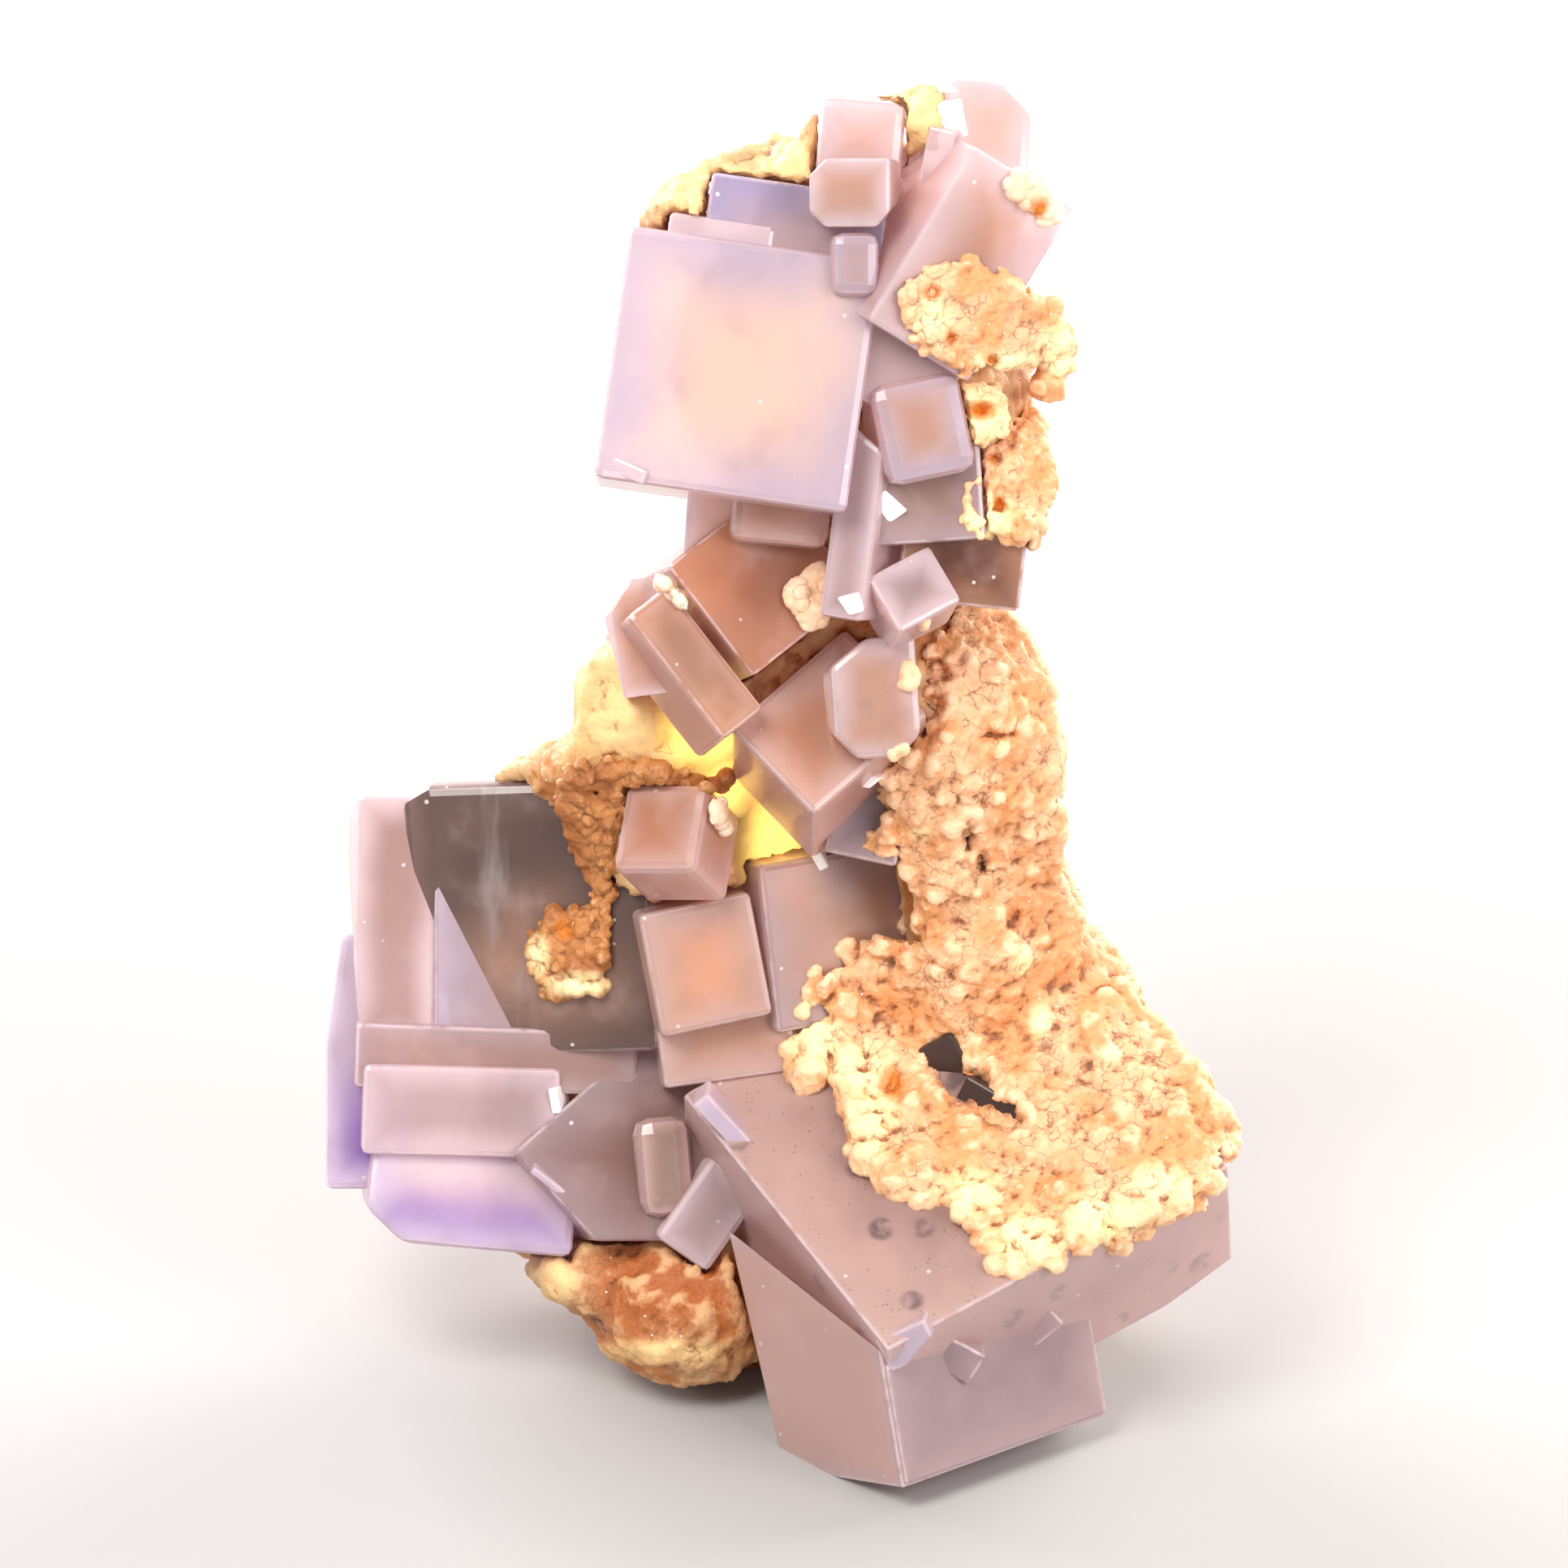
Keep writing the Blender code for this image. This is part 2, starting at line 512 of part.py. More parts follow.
specimen = new_collection("fluorite_specimen")
helpers = new_collection("helpers")

ground = add_ground()

# The fluorite
crystals_whole = joined("crystals_whole", CRYSTALS, helpers, helper=True)
cluster = cut_from("fluorite_cluster", crystals_whole.data.copy(), [ground], specimen)[0]
small_cube = add_crystal("small_fluorite_cube", SMALL_CUBE, specimen, helper=False)

# The room that the fluorite takes in the rock and the druses
crystal_room = joined("crystal_room", CRYSTALS, helpers, helper=True, grown=GAP)
small_cube_room = add_crystal("small_cube_room", SMALL_CUBE, helpers, grown=GAP)

# The rock
rock_mesh = make_rock()
rock_whole = new_object("rock_whole", rock_mesh, helpers, helper=True)
rock_room = new_object("rock_room", swollen(rock_mesh, GAP), helpers, helper=True)
matrix = cut_from("matrix", rock_mesh.copy(), [crystal_room, small_cube_room, ground], specimen)

# The druses and the knobs
under_druse = tree_of([crystals_whole, rock_whole])
rooms = [crystal_room, small_cube_room, rock_room, ground]
druses = {}
for druse_name, druse in DRUSES.items():
    draws = random.Random(druse.seed)
    heads = heads_on_front(druse, under_druse, draws)
    if druse.round_side:
        heads += heads_round_side(druse, rock_mesh, draws)
    crust = druse_mesh(druse_name, heads, druse.voxel, druse.triangles)
    druses[druse_name] = cut_from(druse_name, crust, rooms, specimen)

on_small_cube = tree_of([crystals_whole, rock_whole, small_cube])
for knob_name, tops in KNOBS.items():
    heads = [(x, y, drop(on_small_cube, x, y), radius) for x, y, radius in tops]
    knob = druse_mesh(knob_name, heads, KNOB_VOXEL, KNOB_TRIANGLES)
    druses[knob_name] = cut_from(knob_name, knob, rooms, specimen)

add_material(cluster, "fluorite", FLUORITE_COLOUR, 0.2, transmission=0.6)
add_material(small_cube, "small fluorite", FLUORITE_COLOUR, 0.2, transmission=0.6)
for obj in matrix:
    add_material(obj, "rock", ROCK_COLOUR, 0.8)
for druse_name, objects in druses.items():
    colour = DRUSES[druse_name].colour if druse_name in DRUSES else KNOB_COLOUR
    for obj in objects:
        add_material(obj, druse_name, colour, 0.7)
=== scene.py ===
import json
import math
import random

import bmesh
import bpy
import numpy as np
from mathutils import Euler, Matrix, Vector
from mathutils.bvhtree import BVHTree

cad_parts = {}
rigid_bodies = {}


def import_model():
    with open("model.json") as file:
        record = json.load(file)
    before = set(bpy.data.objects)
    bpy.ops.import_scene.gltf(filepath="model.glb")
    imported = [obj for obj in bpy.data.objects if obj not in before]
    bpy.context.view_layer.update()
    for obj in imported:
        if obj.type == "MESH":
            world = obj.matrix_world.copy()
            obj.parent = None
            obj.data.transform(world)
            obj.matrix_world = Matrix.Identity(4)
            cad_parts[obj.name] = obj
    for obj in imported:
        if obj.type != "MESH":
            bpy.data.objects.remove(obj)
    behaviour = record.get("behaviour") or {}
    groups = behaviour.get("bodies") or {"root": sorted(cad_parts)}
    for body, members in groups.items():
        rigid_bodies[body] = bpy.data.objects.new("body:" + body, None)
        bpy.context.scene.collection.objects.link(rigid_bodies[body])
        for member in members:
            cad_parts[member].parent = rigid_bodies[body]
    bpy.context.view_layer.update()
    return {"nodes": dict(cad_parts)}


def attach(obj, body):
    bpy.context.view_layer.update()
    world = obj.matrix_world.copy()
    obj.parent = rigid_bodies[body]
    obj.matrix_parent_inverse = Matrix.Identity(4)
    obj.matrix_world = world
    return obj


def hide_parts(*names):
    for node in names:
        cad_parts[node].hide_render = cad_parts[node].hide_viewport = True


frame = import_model()
mm = 0.001

# Places on the specimen are given on its face: across to the right, up along it, out to the viewer, in mm.
view = {"faceMiddle": (0.0, -1.3, 41.1), "faceLean": 25.0, "distance": 2.0, "seen": 0.0966}
face = Matrix.Translation(Vector(view["faceMiddle"]) * mm) @ Matrix.Rotation(
    math.radians(90 - view["faceLean"]), 4, "X"
)


def makeCamera():
    data = bpy.data.cameras.new("camera")
    data.sensor_width = 36
    data.lens = 36 * view["distance"] / view["seen"]
    data.clip_start, data.clip_end = 0.1, 20
    camera = bpy.data.objects.new("camera", data)
    bpy.context.scene.collection.objects.link(camera)
    camera.matrix_world = face @ Matrix.Translation((0, 0, view["distance"]))
    bpy.context.scene.camera = camera


studio = {
    "floorColour": (0.42, 0.415, 0.41),
    "world": (1.0, 0.98, 0.97),
    "worldStrength": 0.48,
    "floorSize": 3,
    "aim": (0, 0, 0.04),  # where the lamps point, and how low they may hang, in m
    "lowest": 0.12,
    # name: place on the face in m, size, power in W, colour
    "lights": {
        "key": ((-0.35, 0.45, 0.75), 0.45, 8.0, (1.0, 0.97, 0.94)),
        "fill": ((0.55, 0.10, 0.60), 0.50, 5.0, (1.0, 0.94, 0.95)),
        "behindLeft": ((-0.35, 0.35, -0.30), 0.40, 5.5, (1.0, 0.95, 0.98)),
        "behindRight": ((0.35, 0.30, -0.25), 0.40, 4.5, (1.0, 0.95, 0.91)),
    },
}


def makeStudio():
    world = bpy.data.worlds.new("studio")
    bpy.context.scene.world = world
    world.use_nodes = True
    sky = world.node_tree.nodes["Background"]
    sky.inputs["Color"].default_value = (*studio["world"], 1)
    sky.inputs["Strength"].default_value = studio["worldStrength"]
    for name, (place, size, power, colour) in studio["lights"].items():
        data = bpy.data.lights.new(name, "AREA")
        data.size, data.energy, data.color = size, power, colour
        lamp = bpy.data.objects.new(name, data)
        bpy.context.scene.collection.objects.link(lamp)
        spot = face @ Vector(place)
        spot.z = max(spot.z, studio["lowest"])
        aimed = (Vector(studio["aim"]) - spot).to_track_quat("-Z", "Y")
        lamp.matrix_world = Matrix.Translation(spot) @ aimed.to_matrix().to_4x4()
    shape = bmesh.new()
    bmesh.ops.create_grid(shape, x_segments=1, y_segments=1, size=studio["floorSize"])
    floor = newObject("floor", meshOf(shape, "floor"))
    paper = Finish("floorPaper")
    paper.base(Color=(*studio["floorColour"], 1), Roughness=0.9)
    floor.data.materials.append(paper.material)


class Wire:  # a node's output that arithmetic can be written on
    def __init__(self, maker, socket):
        self.maker, self.socket = maker, socket

    def math(self, operation, *values):
        return self.maker.add("ShaderNodeMath", {"operation": operation}, dict(enumerate(values)))

    def __add__(self, other):
        return self.math("ADD", self, other)

    def __sub__(self, other):
        return self.math("SUBTRACT", self, other)

    def __rsub__(self, other):
        return self.math("SUBTRACT", other, self)

    def __mul__(self, other):
        return self.math("MULTIPLY", self, other)

    def __truediv__(self, other):
        return self.math("DIVIDE", self, other)

    def __rtruediv__(self, other):
        return self.math("DIVIDE", other, self)

    def __pow__(self, other):
        return self.math("POWER", self, other)

    def __gt__(self, other):
        return self.math("GREATER_THAN", self, other)

    __radd__ = __add__
    __rmul__ = __mul__

    def least(self, other):
        return self.math("MINIMUM", self, other)

    def most(self, other):
        return self.math("MAXIMUM", self, other)

    def ease(self, low, high, start=0.0, end=1.0):  # start to end as the value goes from low to high
        return self.maker.add(
            "ShaderNodeMapRange",
            {"interpolation_type": "SMOOTHSTEP"},
            {0: self, 1: low, 2: high, 3: start, 4: end},
        )

    def parts(self):
        return [self.maker.add("ShaderNodeSeparateXYZ", {}, {0: self}, out) for out in range(3)]


class Maker:  # adds nodes to a tree
    def __init__(self, tree):
        self.tree = tree

    def add(self, kind, settings=None, values=None, out=0):
        node = self.tree.nodes.new(kind)
        for key, value in (settings or {}).items():
            setattr(node, key, value)
        for key, value in (values or {}).items():
            self.give(node.inputs[key], value)
        return Wire(self, node.outputs[out])

    def give(self, socket, value):
        if isinstance(value, Wire):
            self.tree.links.new(value.socket, socket)
        else:
            socket.default_value = value

    def vector(self, operation, *values, out=0):
        return self.add("ShaderNodeVectorMath", {"operation": operation}, dict(enumerate(values)), out)

    def scaled(self, vector, by):
        return self.add("ShaderNodeVectorMath", {"operation": "SCALE"}, {0: vector, "Scale": by})

    def warped(self, place, size, by):  # the place, pushed about by noise
        values = {"Vector": place, "Scale": 1 / (size * mm), "Detail": 2.0}
        pushed = self.vector("SUBTRACT", self.add("ShaderNodeTexNoise", {}, values, 1), (0.5, 0.5, 0.5))
        return self.vector("ADD", place, self.scaled(pushed, by * mm))


class Finish(Maker):  # a material
    def __init__(self, name):
        self.material = bpy.data.materials.new(name)
        self.material.use_nodes = True
        super().__init__(self.material.node_tree)
        self.shader = self.tree.nodes["Principled BSDF"]
        coordinates = self.tree.nodes.new("ShaderNodeTexCoord")
        self.place = Wire(self, coordinates.outputs["Object"])

    def base(self, **values):
        longer = {
            "Color": "Base Color", "Subsurface": "Subsurface Weight", "Transmission": "Transmission Weight"
        }
        for key, value in values.items():
            self.give(self.shader.inputs[longer.get(key, key)], value)

    def mix(self, amount, low, high):
        values = {0: amount, 6: opaque(low), 7: opaque(high)}
        return self.add("ShaderNodeMix", {"data_type": "RGBA"}, values, 2)

    def noise(self, size, detail=3.0, roughness=0.5, place=None):
        values = {"Vector": place or self.place, "Scale": 1 / (size * mm), "Detail": detail}
        return self.add("ShaderNodeTexNoise", {}, {**values, "Roughness": roughness})

    def cells(self, size, feature="F1", place=None, out=0):
        values = {"Vector": place or self.place, "Scale": 1 / (size * mm)}
        return self.add("ShaderNodeTexVoronoi", {"feature": feature}, values, out)

    def few(self, size, colour, least):  # 1 in the few cells whose own random colour is bright enough
        return self.add("ShaderNodeSeparateColor", {}, {0: self.cells(size, out=1)}, colour) > least

    def stretched(self, turn, scale):  # the place, turned and squeezed, for streaks
        values = {0: self.place, 2: [math.radians(angle) for angle in turn], 3: scale}
        return self.add("ShaderNodeMapping", {"vector_type": "POINT"}, values)

    def attribute(self, name, out=2):  # 0 is a colour, 1 a vector and 2 a number
        return self.add("ShaderNodeAttribute", {"attribute_name": name}, {}, out)

    def bump(self, height, strength, depth):
        return self.add("ShaderNodeBump", {}, {"Height": height, "Strength": strength, "Distance": depth * mm})

    def painted(self, colour, coats):  # each coat: how much of it shows and its tint as a screen shows it
        for amount, tint in coats:
            colour = self.mix(amount, colour, seen(*tint))
        return colour


def opaque(colour):
    return colour if isinstance(colour, Wire) else (*colour, 1)


def seen(red, green, blue):  # a colour as a screen shows it
    return tuple(((c + 0.055) / 1.055) ** 2.4 for c in (red, green, blue))


def newObject(name, mesh):
    piece = bpy.data.objects.new(name, mesh)
    bpy.context.scene.collection.objects.link(piece)
    return piece


def meshOf(shape, name):
    mesh = bpy.data.meshes.new(name)
    shape.to_mesh(mesh)
    shape.free()
    return mesh


def settled(piece, name=None):  # the piece as a plain mesh, with its modifiers applied
    bpy.context.view_layer.update()
    graph = bpy.context.evaluated_depsgraph_get()
    mesh = bpy.data.meshes.new_from_object(piece.evaluated_get(graph))
    mesh.transform(piece.matrix_world)
    bpy.data.objects.remove(piece)
    return newObject(name or mesh.name, mesh)


def copyOf(name, nodes):  # these frame nodes together, each point once
    shape = bmesh.new()
    for node in nodes:
        shape.from_mesh(frame["nodes"][node].data)
    bmesh.ops.remove_doubles(shape, verts=shape.verts, dist=0.004 * mm)
    return newObject(name, meshOf(shape, name))


def pointsOf(mesh):
    points = np.empty(len(mesh.vertices) * 3)
    mesh.vertices.foreach_get("co", points)
    return points.reshape(-1, 3)


def within(points, place):  # world points in m as places in this frame in mm
    back = np.array(place.inverted())
    return (points @ back[:3, :3].T + back[:3, 3]) / mm


def dropped(tree, across, up):  # where a ray from well in front, into the face, meets a piece
    inFront = face @ (Vector((across, up, 80)) * mm)
    return tree.ray_cast(inFront, face.to_3x3() @ Vector((0, 0, -1)))[0]


def addRemesh(piece, voxel):
    run = piece.modifiers.new("remesh", "REMESH")
    run.mode, run.voxel_size, run.use_smooth_shade = "VOXEL", voxel * mm, True
    return piece


def shadeSmooth(piece):
    piece.data.polygons.foreach_set("use_smooth", [True] * len(piece.data.polygons))


def runTree(piece, tree, values, name):  # runs a geometry tree on the piece and keeps the result
    run = piece.modifiers.new("nodes", "NODES")
    run.node_group = tree
    for item in tree.interface.items_tree:
        if item.item_type == "SOCKET" and item.in_out == "INPUT" and item.name in values:
            run[item.identifier] = values[item.name]
    return settled(piece, name)


fluoriteTints = {  # as a screen shows them
    # white tints the painted glint bits
    "white": (1.0, 0.98, 0.98),
    "peach": (1.0, 0.86, 0.79),
    "lavender": (0.84, 0.77, 0.84),
    "blueViolet": (0.70, 0.65, 0.79),
    "violet": (0.60, 0.45, 0.78),
    "paleViolet": (0.90, 0.83, 0.92),
    "palePink": (0.94, 0.84, 0.86),
    "pink": (0.90, 0.75, 0.71),
    "salmon": (0.96, 0.71, 0.58),
    "mauve": (0.79, 0.68, 0.69),
    "greyMauve": (0.71, 0.61, 0.62),
    "brownPink": (0.83, 0.64, 0.55),
    "brown": (0.70, 0.51, 0.40),
    "warmBrown": (0.80, 0.53, 0.39),
    "stonePink": (0.73, 0.59, 0.56),
    "deepBrown": (0.68, 0.40, 0.26),
    "deepMauve": (0.58, 0.41, 0.38),
    "darkBrown": (0.42, 0.24, 0.18),
    "smoke": (0.44, 0.35, 0.32),
    "smokeBrown": (0.67, 0.54, 0.49),
    "slate": (0.60, 0.51, 0.54),
    # painted shade, for the dark of a hole
    "paintedHollowShade": (0.22, 0.15, 0.13),
}


def crystalOf(at, size, turn, edge, rim, core, **more):
    # at: the middle of the front face. size: wide, tall, deep. turn: tipped, turned and rolled, in degrees.
    # edge: how wide its worn edges are. rim, core and low: its tints at the edges, in the middle and towards
    # its lower end. pitted and streaked: how much, from 0 to 1.
    return dict(at=at, size=size, turn=turn, edge=edge, rim=rim, core=core, **more)


crystals = {
    # the upper cube and the steps of its growth
    "upperCube": crystalOf((-2.8, 25.4, 12.0), (15.6, 15.6, 13.0), (-2, 0, -8.3), 0.5, "lavender", "peach"),
    "upperStep": crystalOf((0.2, 30.8, 10.6), (11.0, 12.0, 11.0), (-2, 0, -8.3), 0.3, "blueViolet", "mauve"),
    "upperSmallStep": crystalOf(
        (-4.2, 31.4, 10.7), (6.5, 6.5, 8.0), (-2, 0, -8.3), 0.3, "palePink", "lavender"
    ),
    "belowUpperCube": crystalOf((0.0, 18.3, 7.0), (6.0, 7.0, 7.0), (-5, 5, -5), 0.6, "pink", "brownPink"),
    "behindUpperCube": crystalOf((-4.3, 15.8, 5.0), (3.5, 8.0, 6.0), (0, 0, -4), 0.3, "palePink", "pink"),
    # the top right
    "topRightCube": crystalOf(
        (11.5, 31.8, 12.0), (8.0, 12.5, 9.0), (0, 25, -31.5), 0.3, "palePink", "brownPink"
    ),
    "topBlock": crystalOf((12.6, 40.0, 10.5), (5.6, 6.0, 7.0), (0, 8, -4), 0.8, "palePink", "pink"),
    "topLeftBlock": crystalOf((4.7, 39.4, 10.0), (5.2, 5.0, 6.0), (0, 0, -5), 0.6, "palePink", "pink"),
    "hexagon": crystalOf((4.0, 36.2, 13.2), (5.0, 4.2, 5.0), (0, -8, 0), 0.4, "palePink", "brownPink"),
    "belowHexagon": crystalOf((4.4, 31.8, 12.8), (2.9, 3.9, 4.0), (0, 5, 0), 0.7, "lavender", "mauve"),
    # the column on the right
    "columnShoulder": crystalOf((7.2, 26.4, 10.0), (8.0, 7.4, 8.0), (0, 10, -25), 0.4, "palePink", "mauve"),
    "columnRound": crystalOf((8.6, 21.8, 10.8), (5.6, 6.2, 6.0), (0, 8, 12), 0.9, "lavender", "brownPink"),
    "blade": crystalOf((4.2, 16.3, 9.5), (2.9, 12.5, 6.0), (5, -20, -9), 0.4, "palePink", "mauve"),
    "columnMiddle": crystalOf((8.7, 17.8, 8.8), (7.0, 6.0, 8.0), (0, 0, 4), 0.3, "mauve", "smokeBrown"),
    "columnDark": crystalOf((11.0, 13.8, 7.5), (7.6, 5.8, 8.0), (8, 5, -6), 0.3, "brown", "darkBrown"),
    "columnWedge": crystalOf((8.0, 12.0, 8.8), (4.5, 4.0, 5.0), (-10, 15, 28), 0.3, "palePink", "greyMauve"),
    "columnFoot": crystalOf(
        (5.6, 5.3, 6.0), (5.4, 7.4, 8.0), (0, 6, 4), 0.5, "palePink", "brownPink", pitted=0.4
    ),
    # the middle
    "diamond": crystalOf((-1.2, 12.6, 5.2), (8.6, 8.6, 9.0), (3, 10, 38), 0.3, "warmBrown", "deepBrown"),
    "diamondSide": crystalOf((-5.4, 7.5, 5.6), (3.4, 9.6, 6.0), (0, 20, 38), 0.4, "brownPink", "brown"),
    "diamondLeft": crystalOf((-9.0, 9.0, 3.8), (3.2, 7.2, 6.0), (0, 12, 8), 0.3, "palePink", "brownPink"),
    "middleCube": crystalOf((2.8, 3.9, 3.0), (9.6, 7.6, 9.5), (-13, 12, 41), 0.4, "pink", "warmBrown"),
    "middleSmall": crystalOf((5.2, -2.3, -2.5), (4.6, 4.8, 9.0), (0, 5, -12), 0.3, "mauve", "slate"),
    "darkCube": crystalOf((4.1, -9.4, -9.5), (11.0, 10.6, 9.0), (10, 20, 10), 0.4, "mauve", "brownPink"),
    "pinkCube": crystalOf((-4.8, -11.2, -6.8), (7.1, 7.8, 8.0), (8, 8, 12), 0.4, "pink", "salmon"),
    "belowPinkCube": crystalOf((-3.6, -15.6, -9.2), (8.4, 5.4, 8.0), (0, 5, 8), 0.3, "pink", "brownPink"),
    # the lower left
    "leftDarkCube": crystalOf(
        (-15.8, -8.4, -10.5), (15.5, 17.0, 10.0), (7, -15, 2), 0.6, "smoke", "smoke",
        low="brownPink", streaked=1.0
    ),
    "leftPaleCube": crystalOf((-17.6, -11.7, -11.7), (8.2, 11.5, 9.0), (0, 0, 0), 0.3, "lavender", "mauve"),
    "leftOuterCube": crystalOf(
        (-24.0, -8.4, -11.9), (5.2, 15.2, 10.0), (0, 4, -1.5), 0.3, "palePink", "stonePink"
    ),
    "leftEdge": crystalOf(
        (-25.6, -17.2, -13.2), (5.8, 15.8, 9.0), (0, 6, 0), 0.4, "paleViolet", "lavender", low="violet"
    ),
    "leftLedge": crystalOf((-17.8, -17.1, -11.2), (17.5, 4.0, 8.0), (6, 2, -2), 0.3, "mauve", "stonePink"),
    "leftBlock": crystalOf((-20.0, -20.3, -10.9), (12.2, 5.6, 8.0), (5, 3, -1.5), 0.4, "palePink", "mauve"),
    "leftBottom": crystalOf(
        (-19.3, -25.3, -11.8), (13.0, 7.0, 9.0), (-10, 3, -6), 0.6, "paleViolet", "palePink", low="violet"
    ),
    "lowerDiamond": crystalOf(
        (-8.2, -22.6, -11.0), (13.0, 11.2, 9.0), (-5, 8, 42), 0.3, "greyMauve", "deepMauve"
    ),
    "lowerRound": crystalOf((-7.2, -23.7, -9.4), (3.4, 6.2, 5.0), (0, 10, 5), 1.0, "pink", "smokeBrown"),
    "lowerLink": crystalOf((-4.6, -26.7, -9.5), (4.0, 6.0, 6.0), (0, 10, -35), 0.4, "palePink", "mauve"),
    # the lower right
    "frontCube": crystalOf(
        (10.6, -21.4, -6.7), (25.0, 23.5, 11.0), (-33, 17.4, 28), 0.5, "pink", "stonePink", pitted=1.0
    ),
    "footCube": crystalOf((13.2, -37.4, -3.6), (16.2, 8.0, 15.8), (16, 35, 19), 0.4, "mauve", "greyMauve"),
    "footSide": crystalOf((7.5, -35.7, 0.6), (3.6, 15.0, 16.2), (16, 35, 19), 0.4, "mauve", "brownPink"),
}

# Flat cuts where a crystal is chipped or worn round: a point on the face, and the way the lost part lies.
chips = {
    "topBlock": [(14.4, 42.1, 47), (11.5, 43.3, 90)],
    "hexagon": [(1.9, 37.6, 135), (6.1, 34.6, -40), (2.4, 34.2, 225)],
    "diamondLeft": [(-10.2, 11.5, 147), (-10.6, 8.5, 194)],
    "columnFoot": [(3.6, 7.8, 130), (7.6, 2.2, -40), (3.4, 2.6, 225)],
    "blade": [(5.4, 21.0, 50)],
    "leftDarkCube": [(-18.0, 0.2, 92), (-23.0, -0.7, 120)],
    "leftOuterCube": [(-27.0, -6.0, 184)],
    "leftEdge": [(-27.9, -12.7, 172), (-28.4, -18.0, 180)],
    "leftBottom": [(-20.4, -28.7, -95), (-24.6, -27.5, 226)],
    "lowerDiamond": [(-8.1, -28.3, -90)],
    "frontCube": [(-3.6, -17.0, 132), (23.3, -32.6, -54)],
    "footCube": [(-0.4, -38.5, 191), (1.4, -41.9, 230)],
    # these cut the painted glint bits to shape
    "whiteCorner": [(6.8, 17.5, 48)],
    "whiteSliver": [(5.6, 0.0, -50)],
    "bladeFoot": [(3.8, 10.6, 215)],
    "whiteTop": [(10.2, 39.9, 230)],
    "blockEnd": [(-14.5, -19.6, 190)],
    "brokenA": [(8.2, -35.0, -40)],
    "brokenB": [(10.2, -36.4, 240)],
    "footSide": [(1.8, -31.7, 52), (-0.9, -38.5, 193), (0.9, -42.2, 228)],
}

# Small bits on the crystals' faces: across, up, wide, tall, roll, how far they stand out and their tint.
bitShape = {"deep": 2.5, "lean": (14, -16), "edge": 0.15}
bits = {
    # painted glints and highlights: white and pale bits where light glints on the crystals
    "whiteCorner": (6.5, 17.1, 1.6, 1.9, 35, 0.4, "white"),
    "whiteSliver": (5.2, 0.1, 2.2, 0.8, -8, 0.4, "white"),
    "whiteFleck": (2.2, -4.8, 0.7, 1.2, 25, 0.3, "white"),
    "bladeFoot": (4.0, 10.9, 1.5, 1.2, 15, 0.4, "white"),
    "paleSide": (9.3, 38.0, 1.8, 4.4, -14, 0.3, "palePink"),
    "whiteTop": (10.3, 40.6, 1.5, 2.4, 10, 0.3, "white"),
    "wornCorner": (-9.6, 19.2, 2.4, 0.9, -24, 0.2, "palePink"),
    "blockEnd": (-14.3, -19.7, 0.7, 1.6, 5, 0.3, "white"),
    "ridge": (-14.2, -25.0, 0.5, 3.6, 48, 0.15, "paleViolet"),
    "bevelPale": (-2.9, -22.0, 1.2, 7.0, 39, 0.1, "paleViolet"),
    # painted shade: dark plates in the hole of the crust
    "holeA": (10.4, -17.8, 2.4, 4.4, 28, 0.05, "paintedHollowShade"),
    "holeB": (12.7, -20.2, 4.6, 2.4, -30, 0.05, "paintedHollowShade"),
    "brokenA": (7.6, -34.6, 3.4, 2.2, 24, 0.3, "lavender"),
    "brokenB": (10.6, -35.9, 3.0, 2.6, 58, 0.4, "greyMauve"),
    "brokenD": (15.6, -33.7, 3.0, 1.7, 39, 0.2, "mauve"),
}

smallCrystal = {
    "smallCube": crystalOf((-7.7, -2.6, -2.4), (5.6, 5.8, 5.6), (-22, -25, 0), 0.6, "pink", "warmBrown"),
}


def placeOf(crystal):
    turned = Euler([math.radians(angle) for angle in crystal["turn"]], "XYZ").to_matrix().to_4x4()
    return face @ Matrix.Translation(Vector(crystal["at"]) * mm) @ turned


def chipOff(shape, chip, toCrystal):
    across, up, way = chip
    normal = Vector((math.cos(math.radians(way)), math.sin(math.radians(way)), 0))
    toFace = toCrystal @ face
    geometry = shape.verts[:] + shape.edges[:] + shape.faces[:]
    cut = bmesh.ops.bisect_plane(
        shape,
        geom=geometry,
        plane_co=toFace @ (Vector((across, up, 0)) * mm),
        plane_no=toFace.to_3x3() @ normal,
        clear_outer=True,
    )
    edges = [part for part in cut["geom_cut"] if isinstance(part, bmesh.types.BMEdge)]
    if edges:
        bmesh.ops.edgeloop_fill(shape, edges=edges)
        bmesh.ops.recalc_face_normals(shape, faces=shape.faces)


def makeCrystal(name, crystal):
    shape = bmesh.new()
    bmesh.ops.create_cube(shape, size=1)
    bmesh.ops.scale(shape, vec=Vector(crystal["size"]) * mm, verts=shape.verts)
    bmesh.ops.translate(shape, vec=(0, 0, -crystal["size"][2] / 2 * mm), verts=shape.verts)
    place = placeOf(crystal)
    for chip in chips.get(name, []):
        chipOff(shape, chip, place.inverted())
    piece = newObject(name, meshOf(shape, name))
    piece.matrix_world = place
    worn = piece.modifiers.new("worn edges", "BEVEL")
    worn.width, worn.segments = crystal["edge"] * mm, 2
    return piece


def placeBits():  # lays the bits on the solid's front and gives them as crystals
    solid = BVHTree.FromObject(frame["nodes"]["fluorite_cluster"], bpy.context.evaluated_depsgraph_get())
    placed = {}
    for name, (across, up, wide, tall, roll, proud, tint) in bits.items():
        hit = dropped(solid, across, up)
        if hit:
            out = (face.inverted() @ hit).z / mm + proud
            placed[name] = crystalOf(
                (across, up, out), (wide, tall, bitShape["deep"]), (*bitShape["lean"], roll), bitShape["edge"],
                tint, tint,
            )
    return placed


